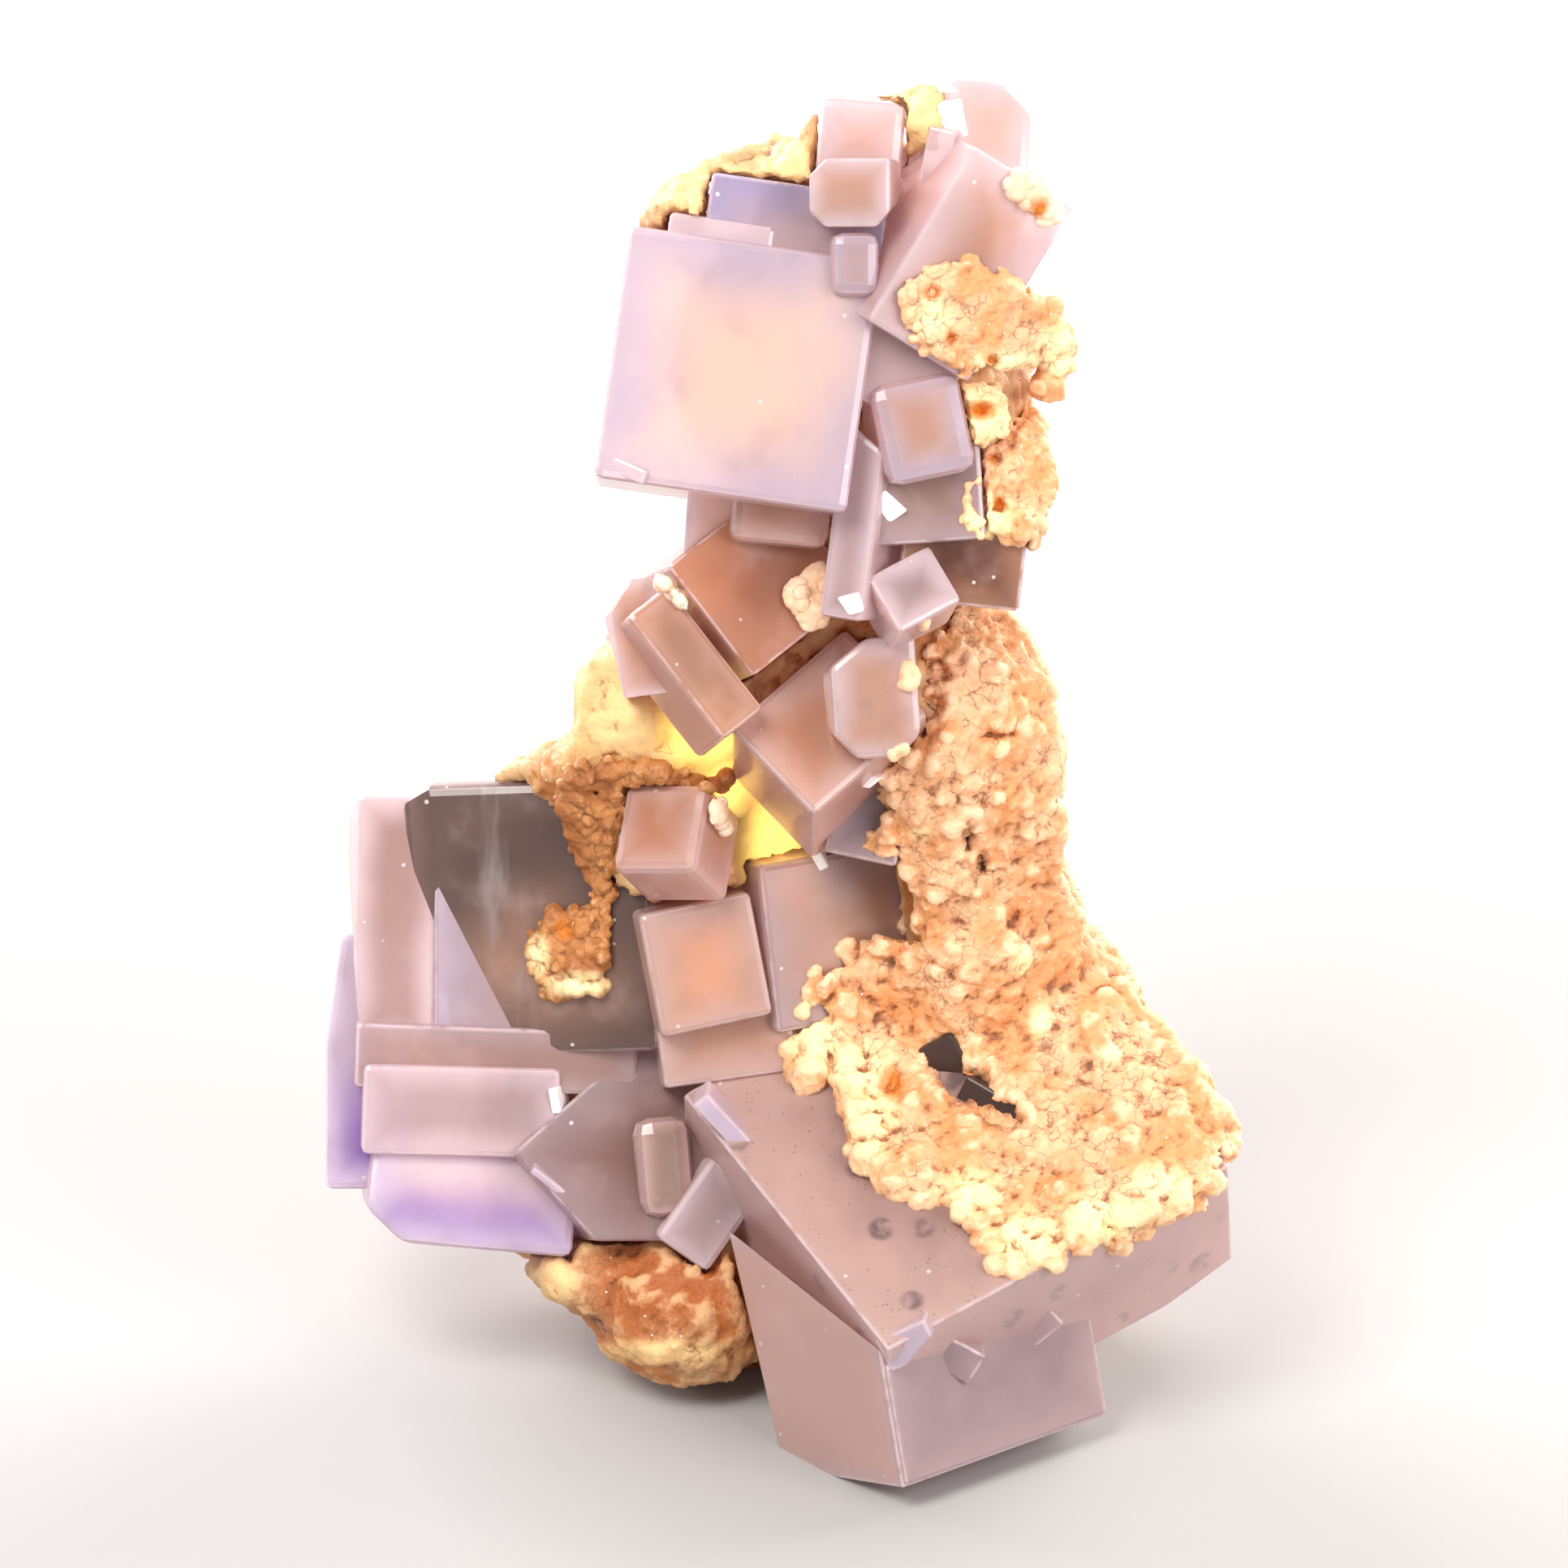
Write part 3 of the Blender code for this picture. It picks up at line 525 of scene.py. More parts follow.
def growTogether(name, parts):  # one closed solid of all these crystals, cut flat where it stands
    blocks = bpy.data.collections.new(name + "Blocks")
    bpy.context.scene.collection.children.link(blocks)
    names = list(parts)
    whole = makeCrystal(names[0], parts[names[0]])
    for other in names[1:]:
        block = makeCrystal(other, parts[other])
        bpy.context.scene.collection.objects.unlink(block)
        blocks.objects.link(block)
    if len(names) > 1:
        grown = whole.modifiers.new("grown together", "BOOLEAN")
        grown.operation, grown.operand_type, grown.collection = "UNION", "COLLECTION", blocks
    shape = bmesh.new()
    bmesh.ops.create_cube(shape, size=0.2)
    bmesh.ops.translate(shape, vec=(0, 0, -0.1), verts=shape.verts)
    ground = newObject("ground", meshOf(shape, "ground"))
    cut = whole.modifiers.new("cut flat", "BOOLEAN")
    cut.operation, cut.object = "DIFFERENCE", ground
    whole = settled(whole, name)
    for block in [*blocks.objects, ground]:
        bpy.data.objects.remove(block)
    bpy.data.collections.remove(blocks)
    return whole


def tintFaces(piece, parts):
    # Each face learns which crystal it belongs to: its place in that crystal and the crystal's tints.
    mesh = piece.data
    points = pointsOf(mesh)
    middles = np.array([polygon.center for polygon in mesh.polygons])
    owners = np.zeros(len(middles), int)
    nearest = np.full(len(middles), 1e9)
    places = []
    for index, crystal in enumerate(parts.values()):
        place, half = placeOf(crystal), np.array(crystal["size"]) / 2
        shift = np.array((0, 0, half[2]))
        depth = (half - np.abs(within(middles, place) + shift)).min(axis=1)
        away = np.where(depth > -0.05, np.abs(depth), 1e6)  # a face outside a crystal isn't on it
        owners = np.where(away < nearest, index, owners)
        nearest = np.minimum(away, nearest)
        places.append(within(points, place) + shift)
    # the bits of painted glint and painted shade get the opaque finish
    paintedLightBits = np.array([crystal["core"] in ("white", "paintedHollowShade") for crystal in parts.values()])
    mesh.polygons.foreach_set("material_index", paintedLightBits[owners].astype(int))
    corners = np.empty(len(mesh.loops), int)
    mesh.loops.foreach_get("vertex_index", corners)
    counts = [polygon.loop_total for polygon in mesh.polygons]
    owner = np.repeat(owners, counts)
    kept = list(parts.values())
    values = {
        "inCrystal": np.array(places)[owner, corners],
        "half": np.array([crystal["size"] for crystal in kept])[owner] / 2,
    }
    for part in ("rim", "core", "low"):
        tints = [seen(*fluoriteTints[crystal.get(part, crystal["core"])]) for crystal in kept]
        values[part] = np.array(tints)[owner]
    for name, array in values.items():
        layer = mesh.attributes.new(name, "FLOAT_VECTOR", "CORNER")
        layer.data.foreach_set("vector", array.astype(np.float32).ravel())
    for name in ("pitted", "streaked"):
        amounts = np.array([float(crystal.get(name, 0)) for crystal in kept])[owner]
        mesh.attributes.new(name, "FLOAT", "CORNER").data.foreach_set("value", amounts.astype(np.float32))


fluoriteLook = {
    "transmission": 0.46,
    "ior": 1.434,
    "absorbed": (0.86, 0.75, 0.76),
    "absorption": 28.0,
    # how much of the rest is milky under the surface, how deep in mm, and how far each colour goes
    "milk": 0.15,
    "milkDepth": 3.5,
    "milkReach": (1.0, 0.75, 0.8),
    "roughness": (0.26, 0.42),  # from clear to cloudy
    "polish": 0.5,  # how much of a smoother skin lies on it
    "polishRoughness": 0.10,
    # how wide these are, in mm
    "cloud": 8.0, "wisp": 3.0, "grit": 1.2, "veil": 1.6, "blotch": 3.2, "pit": 0.42, "speck": 1.3,
    "rimDepth": 0.85,  # where the rim's tint has faded into the core's, 1 being the middle of the face
    "edgeHighlightWidth": 0.30,  # how wide the painted highlight line along an edge is, in mm
    "dust": 0.085,  # how wide a speck is, as a share of its cell
    # tints laid over the crystals' own, as a screen shows them
    "paleWisp": (0.99, 0.88, 0.86),
    "darkWisp": (0.45, 0.35, 0.38),
    "streak": (0.80, 0.75, 0.74),
    "dark": (0.36, 0.30, 0.34),
    "side": (0.98, 0.84, 0.85),
    "edgeHighlightTint": (1.0, 0.90, 0.92),
    "white": (1.0, 0.98, 0.97),
}


def makeFluoriteFinish():
    look = fluoriteLook
    stone = Finish("fluorite")
    inCrystal, half = stone.attribute("inCrystal", 1), stone.attribute("half", 1)
    across = inCrystal.parts()[0]
    x, y, z = stone.vector("ABSOLUTE", inCrystal).parts()
    halfX, halfY, halfZ = half.parts()
    x, y, z = halfX - x, halfY - y, halfZ - z
    toEdge = x.least(y).most(x.most(y).least(z))  # how far the nearest edge of the crystal's face is
    cloud = stone.noise(look["cloud"], 2, 0.45)
    wisps = stone.noise(look["wisp"], 3, 0.5, place=stone.stretched((20, 35, 10), (1.0, 0.3, 1.0)))
    grit = stone.noise(look["grit"], 3)
    veil = stone.noise(look["veil"], 3, place=stone.stretched((0, 0, 0), (1.0, 0.6, 0.12)))

    # the crystal's own tints: from the rim to the core and down to its lower end
    core = (toEdge / halfX.least(halfY) + (cloud - 0.5) * 0.9).ease(-0.1, look["rimDepth"])
    low = stone.vector("DIVIDE", inCrystal, half).parts()[1]
    lowness = (low + (cloud - 0.5) * 1.2).ease(0.35, -0.75)
    middle = stone.mix(lowness, stone.attribute("core", 1), stone.attribute("low", 1))
    colour = stone.mix(core, stone.attribute("rim", 1), middle)

    # what lies in it and on it, with painted light and shade along its edges, on its sides and in its pits
    besideStreak = across + 1.5
    streak = (besideStreak * besideStreak).ease(3.5, 0.0) * veil.ease(0.42, 0.7) * stone.attribute("streaked")
    blotches = stone.cells(look["blotch"]).ease(0.34, 0.20) * grit.ease(0.3, 0.6)
    pits = stone.cells(look["pit"]).ease(0.24, 0.08) * grit.ease(0.48, 0.60)
    pitted = (blotches * 0.75).most(pits * 0.7) * stone.attribute("pitted")
    # painted highlight: a bright line along the edges of each crystal's face
    edge = toEdge.ease(look["edgeHighlightWidth"], 0.08) * grit.ease(0.30, 0.55)
    dust = stone.cells(look["speck"]).ease(look["dust"] * 1.5, look["dust"]) * stone.few(look["speck"], 0, 0.84)
    colour = stone.painted(colour, [
        (wisps.ease(0.5, 0.85) * 0.25, look["paleWisp"]),
        (wisps.ease(0.5, 0.2) * 0.18, look["darkWisp"]),
        (streak * 0.6, look["streak"]),
        # painted shade: dark in the pits and blotches of a pitted face
        (pitted, look["dark"]),
        (z.ease(0.1, 0.5) * 0.4, look["side"]),  # painted light: its sides are made paler than its front
        (edge * 0.8, look["edgeHighlightTint"]),
        (dust * 0.9, look["white"]),
    ])
    stone.base(
        Color=colour,
        Roughness=cloud.ease(0.3, 0.7, *look["roughness"]),
        Transmission=look["transmission"],
        Subsurface=look["milk"],
        IOR=look["ior"],
        Normal=stone.bump(cloud, 0.35, 1.0),
    )
    for socket, value in {
        "Coat Weight": look["polish"],
        "Coat Roughness": look["polishRoughness"],
        "Subsurface Radius": look["milkReach"],
        "Subsurface Scale": look["milkDepth"] * mm,
    }.items():
        stone.shader.inputs[socket].default_value = value
    absorbed = stone.add(
        "ShaderNodeVolumeAbsorption", {}, {"Color": (*look["absorbed"], 1), "Density": look["absorption"]}
    )
    stone.tree.links.new(absorbed.socket, stone.tree.nodes["Material Output"].inputs["Volume"])
    return stone.material


def makePaintedLightFinish():  # the white painted glints and the painted shade of the hole, neither see-through
    chip = Finish("whiteChip")
    chip.base(Color=chip.attribute("core", 1), Roughness=0.35)
    return chip.material


crustInputs = {  # the tree's inputs and what each is called in the dictionary of a crust
    "Swell": "swell", "Wave height": "wave", "Head size": "head", "Head height": "rise",
    "Grain size": "grain", "Grain height": "grit", "Seed": "seed",
}


def startTree(name, numbers):  # a geometry tree with these inputs, and a wire from each
    tree = bpy.data.node_groups.new(name, "GeometryNodeTree")
    tree.interface.new_socket("Geometry", in_out="INPUT", socket_type="NodeSocketGeometry")
    for number in numbers:
        tree.interface.new_socket(number, in_out="INPUT", socket_type="NodeSocketFloat")
    tree.interface.new_socket("Material", in_out="INPUT", socket_type="NodeSocketMaterial")
    tree.interface.new_socket("Geometry", in_out="OUTPUT", socket_type="NodeSocketGeometry")
    maker = Maker(tree)
    given = tree.nodes.new("NodeGroupInput")
    return maker, {socket.name: Wire(maker, socket) for socket in given.outputs if socket.name}


def endTree(maker, made, material):
    made = maker.add("GeometryNodeRealizeInstances", {}, {"Geometry": made})
    made = maker.add("GeometryNodeSetMaterial", {}, {"Geometry": made, "Material": material})
    result = maker.tree.nodes.new("NodeGroupOutput")
    maker.tree.links.new(made.socket, result.inputs[0])
    return maker.tree


def scattered(maker, points, size, squeeze, **turned):  # balls of uneven shape on these points
    least, most = squeeze
    values = {0: least, 1: most, "Seed": 9}
    squeezed = maker.add("FunctionNodeRandomValue", {"data_type": "FLOAT_VECTOR"}, values)
    ball = maker.add("GeometryNodeMeshIcoSphere", {}, {"Radius": 1.0, "Subdivisions": 2})
    values = {"Points": points, "Instance": ball, "Scale": maker.scaled(squeezed, size), **turned}
    made = maker.add("GeometryNodeInstanceOnPoints", {}, values)
    return maker.add("GeometryNodeRealizeInstances", {}, {"Geometry": made})


def makeCrustTree():
    # Swells a fine mesh and raises waves, round heads and grains on it.
    maker, put = startTree("crust", crustInputs)
    place = maker.add("GeometryNodeInputPosition")
    seeded = maker.vector("ADD", place, maker.add("ShaderNodeCombineXYZ", {}, {0: put["Seed"]}))
    warped = maker.warped(seeded, 1.4, 0.9)

    def domes(size):
        values = {"Vector": warped, "Scale": 1.0 / (size * mm)}
        return 1.0 - maker.add("ShaderNodeTexVoronoi", {"feature": "F1"}, values) * 1.5

    def waves(at, scale):
        values = {"Vector": at, "Scale": scale, "Detail": 3.0, "Roughness": 0.6}
        return maker.add("ShaderNodeTexNoise", {}, values) - 0.5

    height = waves(seeded, 330.0) * put["Wave height"]
    height = height + waves(warped, 1300.0) * put["Wave height"] * 0.8  # small waves on the wide ones
    for dome in ("Head", "Grain"):
        height = height + domes(put[dome + " size"]) * put[dome + " height"]
    offset = maker.scaled(maker.add("GeometryNodeInputNormal"), (height + put["Swell"]) * mm)
    moved = maker.add("GeometryNodeSetPosition", {}, {"Geometry": put["Geometry"], "Offset": offset})
    return endTree(maker, moved, put["Material"])


def makeNoduleTree():
    # Scatters flat round nodules of many sizes over a surface and keeps the surface under them.
    maker, put = startTree("nodules", ("Spacing", "Least size", "Most size", "Seed"))
    dots = maker.add(
        "GeometryNodeDistributePointsOnFaces", {"distribute_method": "POISSON"},
        {"Mesh": put["Geometry"], "Distance Min": put["Spacing"] * mm, "Density Max": 1e7, "Seed": put["Seed"]},
    )
    turned = Wire(maker, dots.socket.node.outputs["Rotation"])
    chance = maker.add("FunctionNodeRandomValue", {"data_type": "FLOAT"}, {2: 0.0, 3: 1.0, "Seed": 5}, 1)
    size = (put["Least size"] + chance ** 2.5 * (put["Most size"] - put["Least size"])) * mm
    made = scattered(maker, dots, size, ((0.7, 0.7, 0.3), (1.4, 1.4, 0.65)), Rotation=turned)
    both = maker.tree.nodes.new("GeometryNodeJoinGeometry")
    for part in (made, put["Geometry"]):
        maker.tree.links.new(part.socket, both.inputs[0])
    return endTree(maker, Wire(maker, both.outputs[0]), put["Material"])


def makeHeadsTree():
    # A round head on every point of a mesh, as large as the point's own radius.
    maker, put = startTree("roundHeads", ("Roundness",))
    radius = maker.add("GeometryNodeInputNamedAttribute", {"data_type": "FLOAT"}, {"Name": "headRadius"})
    anyWay = {0: (0.0, 0.0, 0.0), 1: (6.28, 6.28, 6.28), "Seed": 4}
    turned = maker.add("FunctionNodeRandomValue", {"data_type": "FLOAT_VECTOR"}, anyWay)
    points = maker.add("GeometryNodeMeshToPoints", {}, {"Mesh": put["Geometry"]})
    made = scattered(maker, points, radius, ((0.8, 0.8, 0.75), (1.2, 1.2, 1.1)), Rotation=turned)
    place = maker.add("GeometryNodeInputPosition")
    dents = maker.add("ShaderNodeTexNoise", {}, {"Vector": place, "Scale": 1400.0, "Detail": 2.0}) - 0.5
    offset = maker.scaled(maker.add("GeometryNodeInputNormal"), dents * put["Roundness"] * mm)
    made = maker.add("GeometryNodeSetPosition", {}, {"Geometry": made, "Offset": offset})
    return endTree(maker, made, put["Material"])


def facing(piece):  # 1 for points that look to the front, 0 for those that look back, and the way out
    normals = np.empty(len(piece.data.vertices) * 3)
    piece.data.vertex_normals.foreach_get("vector", normals)
    out = np.array(face.to_3x3() @ Vector((0, 0, 1)))
    return np.clip(normals.reshape(-1, 3) @ out * 2 + 0.6, 0, 1), out  # fading over where they turn away


def paint(piece, name, spots):
    # A number on each point: 1 at the middle of a spot, 0 from its radius out. Spots lie on the face.
    places = within(pointsOf(piece.data), face)
    value = np.zeros(len(places))
    for across, up, wide, tall in spots:
        away = np.hypot((places[:, 0] - across) / wide, (places[:, 1] - up) / tall)
        value = np.maximum(value, np.clip(1.4 - 1.4 * away, 0, 1))  # full near the middle
    layer = piece.data.attributes.new(name, "FLOAT", "POINT")
    layer.data.foreach_set("value", (value * facing(piece)[0]).astype(np.float32))


def press(piece, pits):
    # Pushes soft oval hollows into the front of a piece: across, up, wide, tall and how deep.
    points = pointsOf(piece.data)
    front, out = facing(piece)
    places = within(points, face)
    for across, up, wide, tall, deep in pits:
        away = np.clip(np.hypot((places[:, 0] - across) / wide, (places[:, 1] - up) / tall), 0, 1)
        points -= (front * deep * mm * (1 - away * away) ** 2)[:, None] * out
    piece.data.vertices.foreach_set("co", points.ravel())
    piece.data.update()


reliefRounds = 14  # how often the surroundings are averaged


def measureRelief(piece):
    # How far each point stands out of its surroundings, in mm, for the painted highlights on tips and the
    # painted shade in crevices.
    mesh, points = piece.data, pointsOf(piece.data)
    count = len(points)
    ends, normals = np.empty(len(mesh.edges) * 2, int), np.empty(count * 3)
    mesh.edges.foreach_get("vertices", ends)
    mesh.vertex_normals.foreach_get("vector", normals)
    first, second = ends.reshape(-1, 2).T
    near = np.maximum(np.bincount(first, minlength=count) + np.bincount(second, minlength=count), 1)
    smooth = points.copy()
    for turn in range(reliefRounds):
        smooth = np.stack([
            (np.bincount(first, line[second], count) + np.bincount(second, line[first], count)) / near
            for line in smooth.T
        ], axis=1)
    relief = ((points - smooth) * normals.reshape(-1, 3)).sum(axis=1) / mm
    mesh.attributes.new("relief", "FLOAT", "POINT").data.foreach_set("value", relief.astype(np.float32))


def makeCrustFinish(name, look):
    druse = Finish(name)
    fine = druse.noise(grainLook["fine"], 2, 0.65)
    patches = druse.noise(look["patch"], 2, 0.55)
    level = druse.attribute("relief") + (fine - 0.5) * 0.3  # how high a point stands, made uneven
    bent = druse.warped(druse.place, 0.9, 0.9)
    cracks = druse.cells(grainLook["crack"], "DISTANCE_TO_EDGE", place=bent).ease(0.06, 0.015)
    cracks = cracks * patches.ease(0.46, 0.56) * level.ease(0.16, 0.0)
    # painted glints: a few grain faces made white, as if they caught the light
    paintedSparkle = druse.cells(grainLook["paintedSparkle"]).ease(0.16, 0.08) * druse.few(grainLook["paintedSparkle"], 1, 0.90)
    colour = druse.mix(patches.ease(0.40, 0.60), seen(*look["body"]), seen(*look["pale"]))
    colour = druse.painted(colour, [
        (druse.attribute("rust") * 0.9, look["rust"]),
        # painted shade: darker in the crevices, where a point lies below its surroundings
        (level.ease(0.0, -0.26) * 0.9, look["paintedHollowShade"]),
        # painted highlight: paler on the tips, where a point stands out of its surroundings
        (level.ease(0.06, 0.34) * 0.7, look["tip"]),
        (druse.attribute("cream") * level.ease(-0.20, 0.05), look["cream"]),
        (druse.attribute("amber"), look["amber"]),
        # painted shade: dark in the deep pits and holes
        (druse.attribute("dark"), look["crack"]),
        (cracks * look["cracked"], look["crack"]),
        (paintedSparkle, grainLook["paintedSparkleTint"]),
    ])
    druse.base(
        Color=colour,
        Roughness=fine.ease(0.3, 0.7, *grainLook["roughness"]) - paintedSparkle * 0.25,
        Normal=druse.bump(fine, 0.6, 0.16),
    )
    # painted light: the amber spots glow as if lit through the rock from behind
    if look["paintedGlow"]:
        paintedGlowColour = druse.mix(druse.attribute("amber"), (0.0, 0.0, 0.0), seen(*look["amber"]))
        druse.give(druse.shader.inputs["Emission Color"], paintedGlowColour)
        druse.shader.inputs["Emission Strength"].default_value = look["paintedGlow"]
    return druse.material


grainLook = {
    "fine": 0.28, "crack": 1.1, "paintedSparkle": 0.5,  # how wide the grains, cracks and painted glints of sparkling faces are, in mm
    "paintedSparkleTint": (1.0, 0.97, 0.93),
    "roughness": (0.42, 0.66),
}
# Tints as a screen shows them. The glow number: how strongly the amber glows, painted light shining through
# from behind. cracked: how much the cracks show.
# patch: how wide the patches of body and pale are, in mm.
crustLook = {
    "paintedHollowShade": (0.50, 0.27, 0.14), "body": (0.88, 0.61, 0.39), "pale": (0.95, 0.73, 0.55),
    "tip": (1.0, 0.87, 0.71), "cream": (1.0, 0.93, 0.70), "amber": (0.84, 0.47, 0.10),
    "crack": (0.30, 0.18, 0.12), "paintedGlow": 0.0, "cracked": 0.5, "patch": 4.0,
    "rust": (0.82, 0.46, 0.20),
}
amberLook = {
    **crustLook, "paintedHollowShade": (0.25, 0.12, 0.05), "body": (0.65, 0.39, 0.19), "pale": (0.76, 0.50, 0.27),
    "tip": (1.0, 0.84, 0.62),
}
knobLook = {
    **crustLook, "paintedHollowShade": (0.88, 0.60, 0.40), "body": (0.97, 0.81, 0.66), "pale": (1.0, 0.88, 0.76),
    "tip": (1.0, 0.94, 0.85), "cracked": 0.1,
}
rockLook = {
    **crustLook, "paintedHollowShade": (0.40, 0.23, 0.12), "body": (0.77, 0.48, 0.25), "pale": (0.76, 0.61, 0.44),
    "tip": (0.90, 0.73, 0.53), "cream": (1.0, 0.84, 0.58), "amber": (1.0, 0.84, 0.44),
    "crack": (0.50, 0.27, 0.08), "rust": (0.68, 0.35, 0.13), "paintedGlow": 1.4, "patch": 8.0,
}

knobShape = dict(voxel=0.09, swell=0.3, wave=0.25, head=0.9, rise=0.03, grain=0.4, grit=0.01)

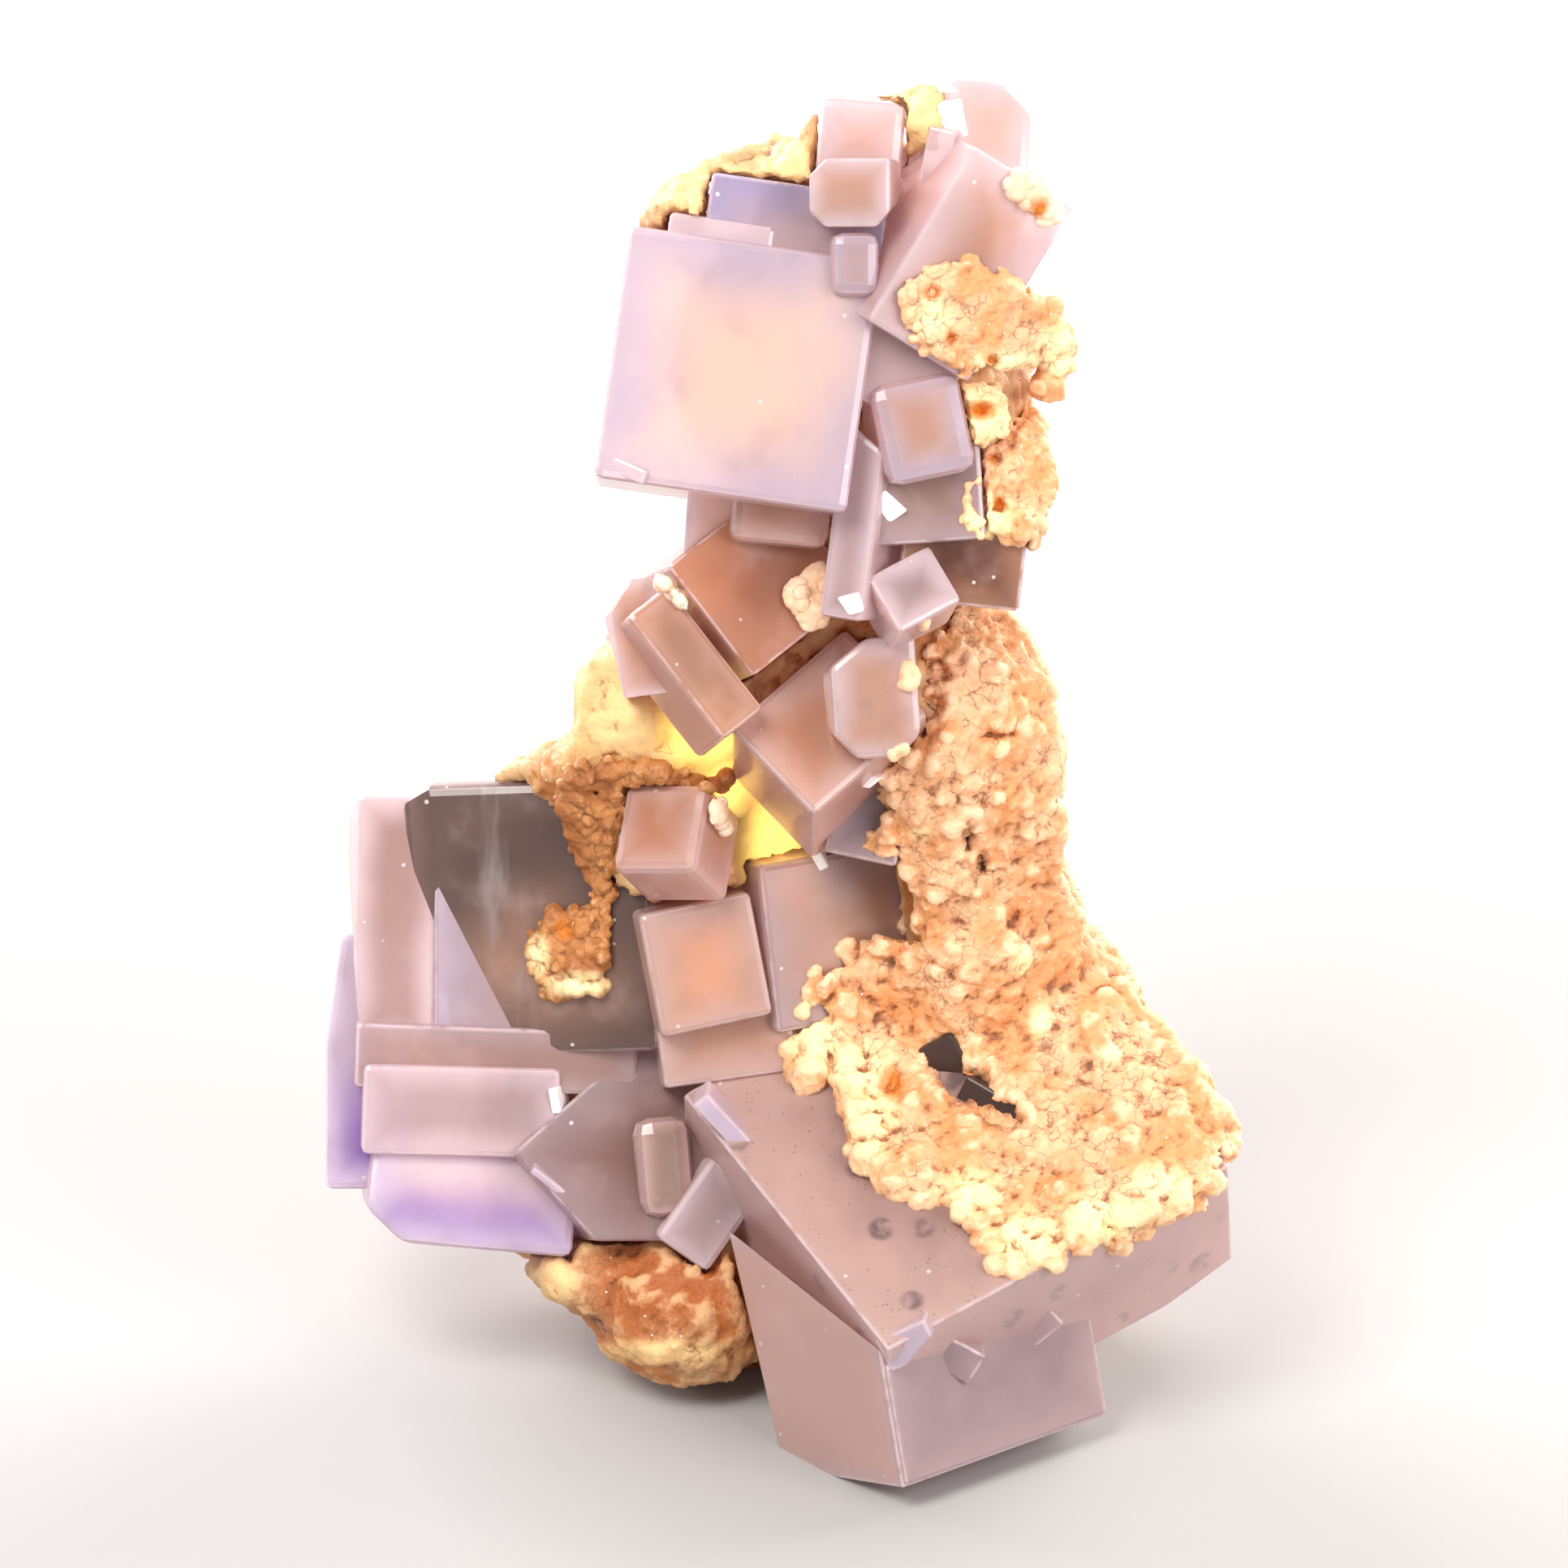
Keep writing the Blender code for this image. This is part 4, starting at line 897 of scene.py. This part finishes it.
# nodes: the solids of the frame it is made of. voxel: how fine its mesh is, in mm. nodules: how far apart
# they lie, the least and the most size. swell, wave, rise and grit: how far it is puffed up, and how high its
# waves, heads and grains stand. head and grain: how wide those are. Spots lie on the face: across, up, wide,
# tall, and for a pit how deep. knobs: rows of round knobs along these points of the face. forward: how far
# the piece is moved towards the viewer.
crusts = {
    "rightCrust": dict(
        nodes=["right_druse", "flank_druse"], voxel=0.22, swell=0.1, wave=1.2, head=1.3, rise=0.08, grain=0.5,
        grit=0.1, seed=3, nodules=(1.2, 0.2, 0.85),
        pits=[
            (11.3, -3.2, 0.8, 1.4, 1.6), (12.2, -4.8, 0.6, 1.2, 1.4), (9.9, -17.2, 1.5, 2.1, 2.6),
            (11.5, -19.0, 2.0, 1.8, 2.6), (13.3, -20.6, 2.1, 1.5, 2.6), (9.2, 6.8, 1.3, 1.2, 1.5),
            (9.2, 5.0, 1.2, 1.1, 1.4), (6.8, -18.6, 1.2, 1.6, 0.8), (8.2, -9.6, 1.0, 0.6, 1.0),
            (13.0, 3.0, 1.6, 0.9, 0.9), (14.0, -8.0, 1.0, 1.8, 0.8), (17.0, -12.5, 1.6, 1.0, 0.7),
        ],
        # painted shade in the deepest pits and the hole
        dark=[
            (11.3, -3.2, 0.6, 1.1), (12.2, -4.8, 0.45, 0.9), (9.9, -17.2, 1.1, 1.7), (11.5, -19.0, 1.5, 1.4),
            (13.3, -20.6, 1.7, 1.1),
        ],
        cream=[
            (1.8, -15.8, 2.2, 2.6), (4.6, -17.6, 2.4, 2.2), (5.6, -20.6, 2.0, 3.2), (11.5, -25.2, 2.5, 2.0),
            (15.0, -28.0, 3.2, 2.2), (19.5, -26.8, 3.6, 1.8), (23.5, -24.6, 3.0, 1.6),
            (15.9, -14.7, 1.0, 1.5), (20.2, -16.7, 1.1, 0.6), (8.4, -3.0, 0.8, 0.7), (14.6, -10.9, 0.9, 1.3),
        ],
        amber=[(6.8, -18.5, 1.1, 1.4), (9.2, 6.8, 1.1, 1.1), (9.2, 5.0, 1.0, 0.9)],
        knobs=[
            dict(
                along=[
                    (0.2, -15.6), (1.4, -18.2), (2.6, -15.0), (3.6, -17.6), (5.2, -20.4), (4.9, -23.0),
                    (6.6, -24.0),
                ],
                spacing=0.5, spread=0.45, radius=(0.6, 1.3), lift=0.1,
            ),
            dict(
                along=[
                    (6.6, -24.0), (9.2, -25.2), (12.4, -27.2), (14.2, -29.2), (16.7, -28.6), (23.2, -26.3),
                    (26.5, -24.6),
                ],
                spacing=0.5, spread=0.4, radius=(0.4, 1.0), lift=0.05,
            ),
            dict(
                along=[
                    (9.2, 10.0), (8.4, 5.8), (9.4, 3.4), (6.6, 1.2), (6.9, -1.2), (5.7, -3.8), (7.4, -4.5),
                    (8.8, -9.2), (5.6, -9.6), (2.6, -11.6), (1.0, -14.6),
                ],
                spacing=0.6, spread=0.35, radius=(0.25, 0.65),
            ),
        ],
    ),
    "upperCrust": dict(
        nodes=["upper_druse", "upper_back_druse"], voxel=0.15, swell=0.0, wave=0.6, head=1.1, rise=0.06,
        grain=0.42, grit=0.08, seed=5, nodules=(0.9, 0.15, 0.6),
        pits=[
            (9.0, 30.1, 0.9, 0.7, 0.8), (10.2, 27.4, 0.6, 0.8, 0.8), (12.7, 26.0, 0.8, 0.6, 0.8),
            (15.0, 25.4, 0.6, 0.6, 0.7),
        ],
        cream=[(9.0, 28.5, 1.6, 1.6), (16.8, 26.5, 1.4, 2.6), (13.5, 26.0, 2.4, 0.9)],
        amber=[(9.0, 30.1, 0.7, 0.5), (12.7, 26.0, 0.5, 0.5), (10.2, 27.4, 0.4, 0.5)],
        knobs=[
            dict(
                along=[(7.4, 30.2), (7.4, 28.4), (8.8, 27.0), (11.0, 25.5), (14.6, 26.0), (15.6, 24.8)],
                spacing=0.4, spread=0.2, radius=(0.2, 0.5),
            ),
            dict(
                along=[(7.4, 30.2), (9.0, 31.4), (12.6, 31.7), (15.0, 29.6), (17.0, 28.4), (17.4, 25.0)],
                spacing=0.5, spread=0.2, radius=(0.25, 0.6),
            ),
        ],
    ),
    "ringCrust": dict(
        nodes=["ring_druse"], voxel=0.1, swell=0.0, wave=0.3, head=0.8, rise=0.04, grain=0.3, grit=0.03,
        seed=8, nodules=(0.5, 0.15, 0.45),
        pits=[(11.9, 22.9, 1.5, 0.8, 1.0), (14.9, 23.6, 0.6, 0.8, 0.6)],
        cream=[(12.0, 22.6, 3.0, 2.6)],
        amber=[(12.0, 22.9, 1.5, 0.8), (15.0, 23.6, 0.5, 0.7)],
    ),
    "columnCrust": dict(
        nodes=["column_druse"], voxel=0.14, swell=0.0, wave=0.7, head=1.0, rise=0.06, grain=0.4, grit=0.07,
        seed=9, nodules=(0.8, 0.15, 0.6),
        pits=[(13.2, 17.0, 0.7, 0.8, 0.9), (12.9, 20.0, 0.6, 0.6, 0.8)],
        cream=[(12.4, 16.2, 2.4, 1.6)],
        amber=[(13.2, 17.2, 0.5, 0.5), (12.8, 20.0, 0.6, 0.5)],
        knobs=[
            dict(
                along=[(11.6, 18.4), (10.8, 17.0), (12.0, 15.4), (14.6, 15.2), (16.0, 16.6), (16.2, 20.0)],
                spacing=0.45, spread=0.25, radius=(0.2, 0.55),
            ),
        ],
    ),
    "leftCrust": dict(
        nodes=["left_druse"], voxel=0.12, swell=0.0, wave=0.5, head=0.8, rise=0.05, grain=0.34, grit=0.04,
        seed=7, nodules=(0.5, 0.2, 0.6),
        cream=[(-12.6, -12.4, 2.8, 1.0), (-15.2, -10.6, 0.9, 1.6)],
        amber=[(-13.6, -9.0, 0.9, 0.9)],
        knobs=[
            dict(
                along=[(-13.2, 0.9), (-11.2, 0.8), (-8.8, 1.0), (-6.0, 0.3), (-3.2, -0.2)],
                spacing=0.3, spread=0.45, radius=(0.2, 0.55),
            ),
            dict(
                along=[(-12.9, 0.6), (-12.4, -2.4), (-11.3, -4.0), (-10.9, -8.2)],
                spacing=0.22, spread=0.45, radius=(0.18, 0.5),
            ),
            dict(along=[(-8.9, 0.9), (-7.6, 0.8)], spacing=0.5, spread=0.15, radius=(0.55, 0.8)),
            dict(along=[(-4.2, 0.4), (-3.4, -0.2)], spacing=0.6, spread=0.2, radius=(0.6, 0.9)),
            dict(
                along=[(-15.6, -9.2), (-15.4, -11.4), (-14.6, -12.7), (-11.2, -12.6)],
                spacing=0.4, spread=0.2, radius=(0.35, 0.65),
            ),
            dict(
                along=[(-15.0, -9.0), (-13.4, -7.8), (-11.6, -9.0), (-11.4, -11.4), (-13.4, -10.6)],
                spacing=0.45, spread=0.3, radius=(0.3, 0.7),
            ),
        ],
    ),
    "rock": dict(
        nodes=["matrix", "top_matrix"], voxel=0.36, swell=0.0, wave=1.2, head=2.0, rise=0.1, grain=0.8,
        grit=0.1, seed=11, nodules=(1.2, 0.2, 0.6),
        pits=[(-3.0, 25.0, 8.5, 9.5, 5.0)],
        # painted shade in a narrow gap of the rock
        dark=[(-2.6, -3.4, 0.7, 3.6)],
        cream=[
            (-4.0, 36.0, 4.5, 3.0), (0.5, 38.0, 3.0, 2.5), (8.0, 41.0, 3.0, 2.5), (-14.0, -31.0, 1.6, 1.6),
            (-9.5, 4.5, 6.5, 5.5), (-3.0, 25.0, 9.0, 10.0), (-7.0, -35.2, 6.0, 1.0),
        ],
        # painted light: these amber spots glow, standing in for light shining through the rock from behind
        amber=[(-4.8, 3.0, 3.6, 3.2), (-0.4, -3.6, 2.8, 5.0), (-3.6, 0.0, 2.4, 2.6)],
        rust=[(-7.5, -31.0, 8.5, 7.0), (2.0, 6.0, 6.0, 6.0)],
    ),
    "leftKnob": dict(
        nodes=["left_knob"], **knobShape, nodules=(0.7, 0.2, 0.3), seed=2, forward=1.6,
        amber=[(-6.8, 12.2, 0.45, 0.4)],
    ),
    "middleKnob": dict(
        nodes=["middle_knob"], **knobShape, nodules=(0.7, 0.2, 0.35), seed=2,
    ),
    "topKnob": dict(
        nodes=["top_knob"], **knobShape, nodules=(0.7, 0.2, 0.35), seed=4,
        amber=[(15.6, 35.4, 0.7, 0.8)],
    ),
    "smallCubeKnob": dict(
        nodes=["small_cube_knob"], **knobShape, nodules=(0.7, 0.2, 0.25), seed=6, forward=0.5,
    ),
}


def makeCrust(name, crust, material):
    spacing, least, most = crust["nodules"]
    values = {"Spacing": spacing, "Least size": least, "Most size": most, "Seed": float(crust["seed"])}
    base = copyOf(name, crust["nodes"])
    base.data.transform(Matrix.Translation(face.to_3x3() @ Vector((0, 0, crust.get("forward", 0) * mm))))
    piece = runTree(base, noduleTree, {**values, "Material": material}, name)
    if "knobs" in crust:
        knobs = makeKnobs(name + "Knobs", crust["knobs"], frame["nodes"][crust["nodes"][0]], material)
        piece = join(piece, knobs)
    piece = settled(addRemesh(piece, crust["voxel"]), name)
    press(piece, crust.get("pits", []))
    for mark in ("cream", "amber", "dark", "rust"):
        paint(piece, mark, crust.get(mark, []))
    values = {title: float(crust[key]) for title, key in crustInputs.items()}
    piece = runTree(piece, crustTree, {**values, "Material": material}, name)
    keepAboveGround(piece)
    measureRelief(piece)
    shadeSmooth(piece)
    return finishPiece(piece, crust["nodes"])


def makeKnobs(name, rows, crust, material):
    # Round knobs along rows on the face, dropped onto the crust or the crystals from in front.
    surfaces = [crust] + [bpy.data.objects[other] for other in ("fluoriteCluster", "smallFluoriteCube")]
    trees = [BVHTree.FromObject(piece, bpy.context.evaluated_depsgraph_get()) for piece in surfaces]
    draw = random.Random(name)
    points, radii = [], []
    for row in rows:
        for start, end in zip(row["along"], row["along"][1:]):  # from point to point of the row
            steps = max(1, round(math.dist(start, end) / row["spacing"]))
            for step in range(steps):
                at = [a + (b - a) * (step + draw.random()) / steps for a, b in zip(start, end)]
                across, up = (value + draw.gauss(0, row["spread"]) for value in at)
                radius = draw.uniform(*row["radius"])
                hits = [dropped(tree, across, up) for tree in trees]
                depths = [(face.inverted() @ hit).z / mm for hit in hits if hit]
                if depths:
                    out = max(depths) + radius * row.get("lift", -0.15)
                    points.append(face @ (Vector((across, up, out)) * mm))
                    radii.append(radius * mm)
    mesh = bpy.data.meshes.new(name)
    mesh.from_pydata(points, [], [])
    mesh.attributes.new("headRadius", "FLOAT", "POINT").data.foreach_set("value", radii)
    return runTree(newObject(name, mesh), knobTree, {"Roundness": 0.25, "Material": material}, name)


def keepAboveGround(piece):
    points = pointsOf(piece.data)
    points[:, 2] = np.maximum(points[:, 2], 0)
    piece.data.vertices.foreach_set("co", points.ravel())
    piece.data.update()


def join(piece, other):
    with bpy.context.temp_override(active_object=piece, selected_editable_objects=[piece, other]):
        bpy.ops.object.join()
    return piece


def finishPiece(piece, nodes):
    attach(piece, "root")
    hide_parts(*nodes)
    print("made", piece.name, "of", len(piece.data.polygons), "faces")
    return piece


bpy.context.scene.view_settings.view_transform = "Standard"
makeCamera()
makeStudio()
print("camera and studio are ready")

fluorite, paintedLightFinish = makeFluoriteFinish(), makePaintedLightFinish()
for name, parts, nodes in (
    ("fluoriteCluster", {**crystals, **placeBits()}, ["fluorite_cluster"]),
    ("smallFluoriteCube", smallCrystal, ["small_fluorite_cube"]),
):
    piece = growTogether(name, parts)
    piece.data.materials.clear()
    for material in (fluorite, paintedLightFinish):
        piece.data.materials.append(material)
    tintFaces(piece, parts)
    finishPiece(piece, nodes)

crustTree = makeCrustTree()
knobTree, noduleTree = makeHeadsTree(), makeNoduleTree()
finishes = {
    "druse": makeCrustFinish("tanDruse", crustLook),
    "amber": makeCrustFinish("amberDruse", amberLook),
    "rock": makeCrustFinish("ochreRock", rockLook),
    "knobs": makeCrustFinish("creamKnob", knobLook),
}
for name, crust in crusts.items():
    kind = "rock" if name == "rock" else "knobs" if name.endswith("Knob") else "druse"
    makeCrust(name, crust, finishes["amber" if name == "leftCrust" else kind])
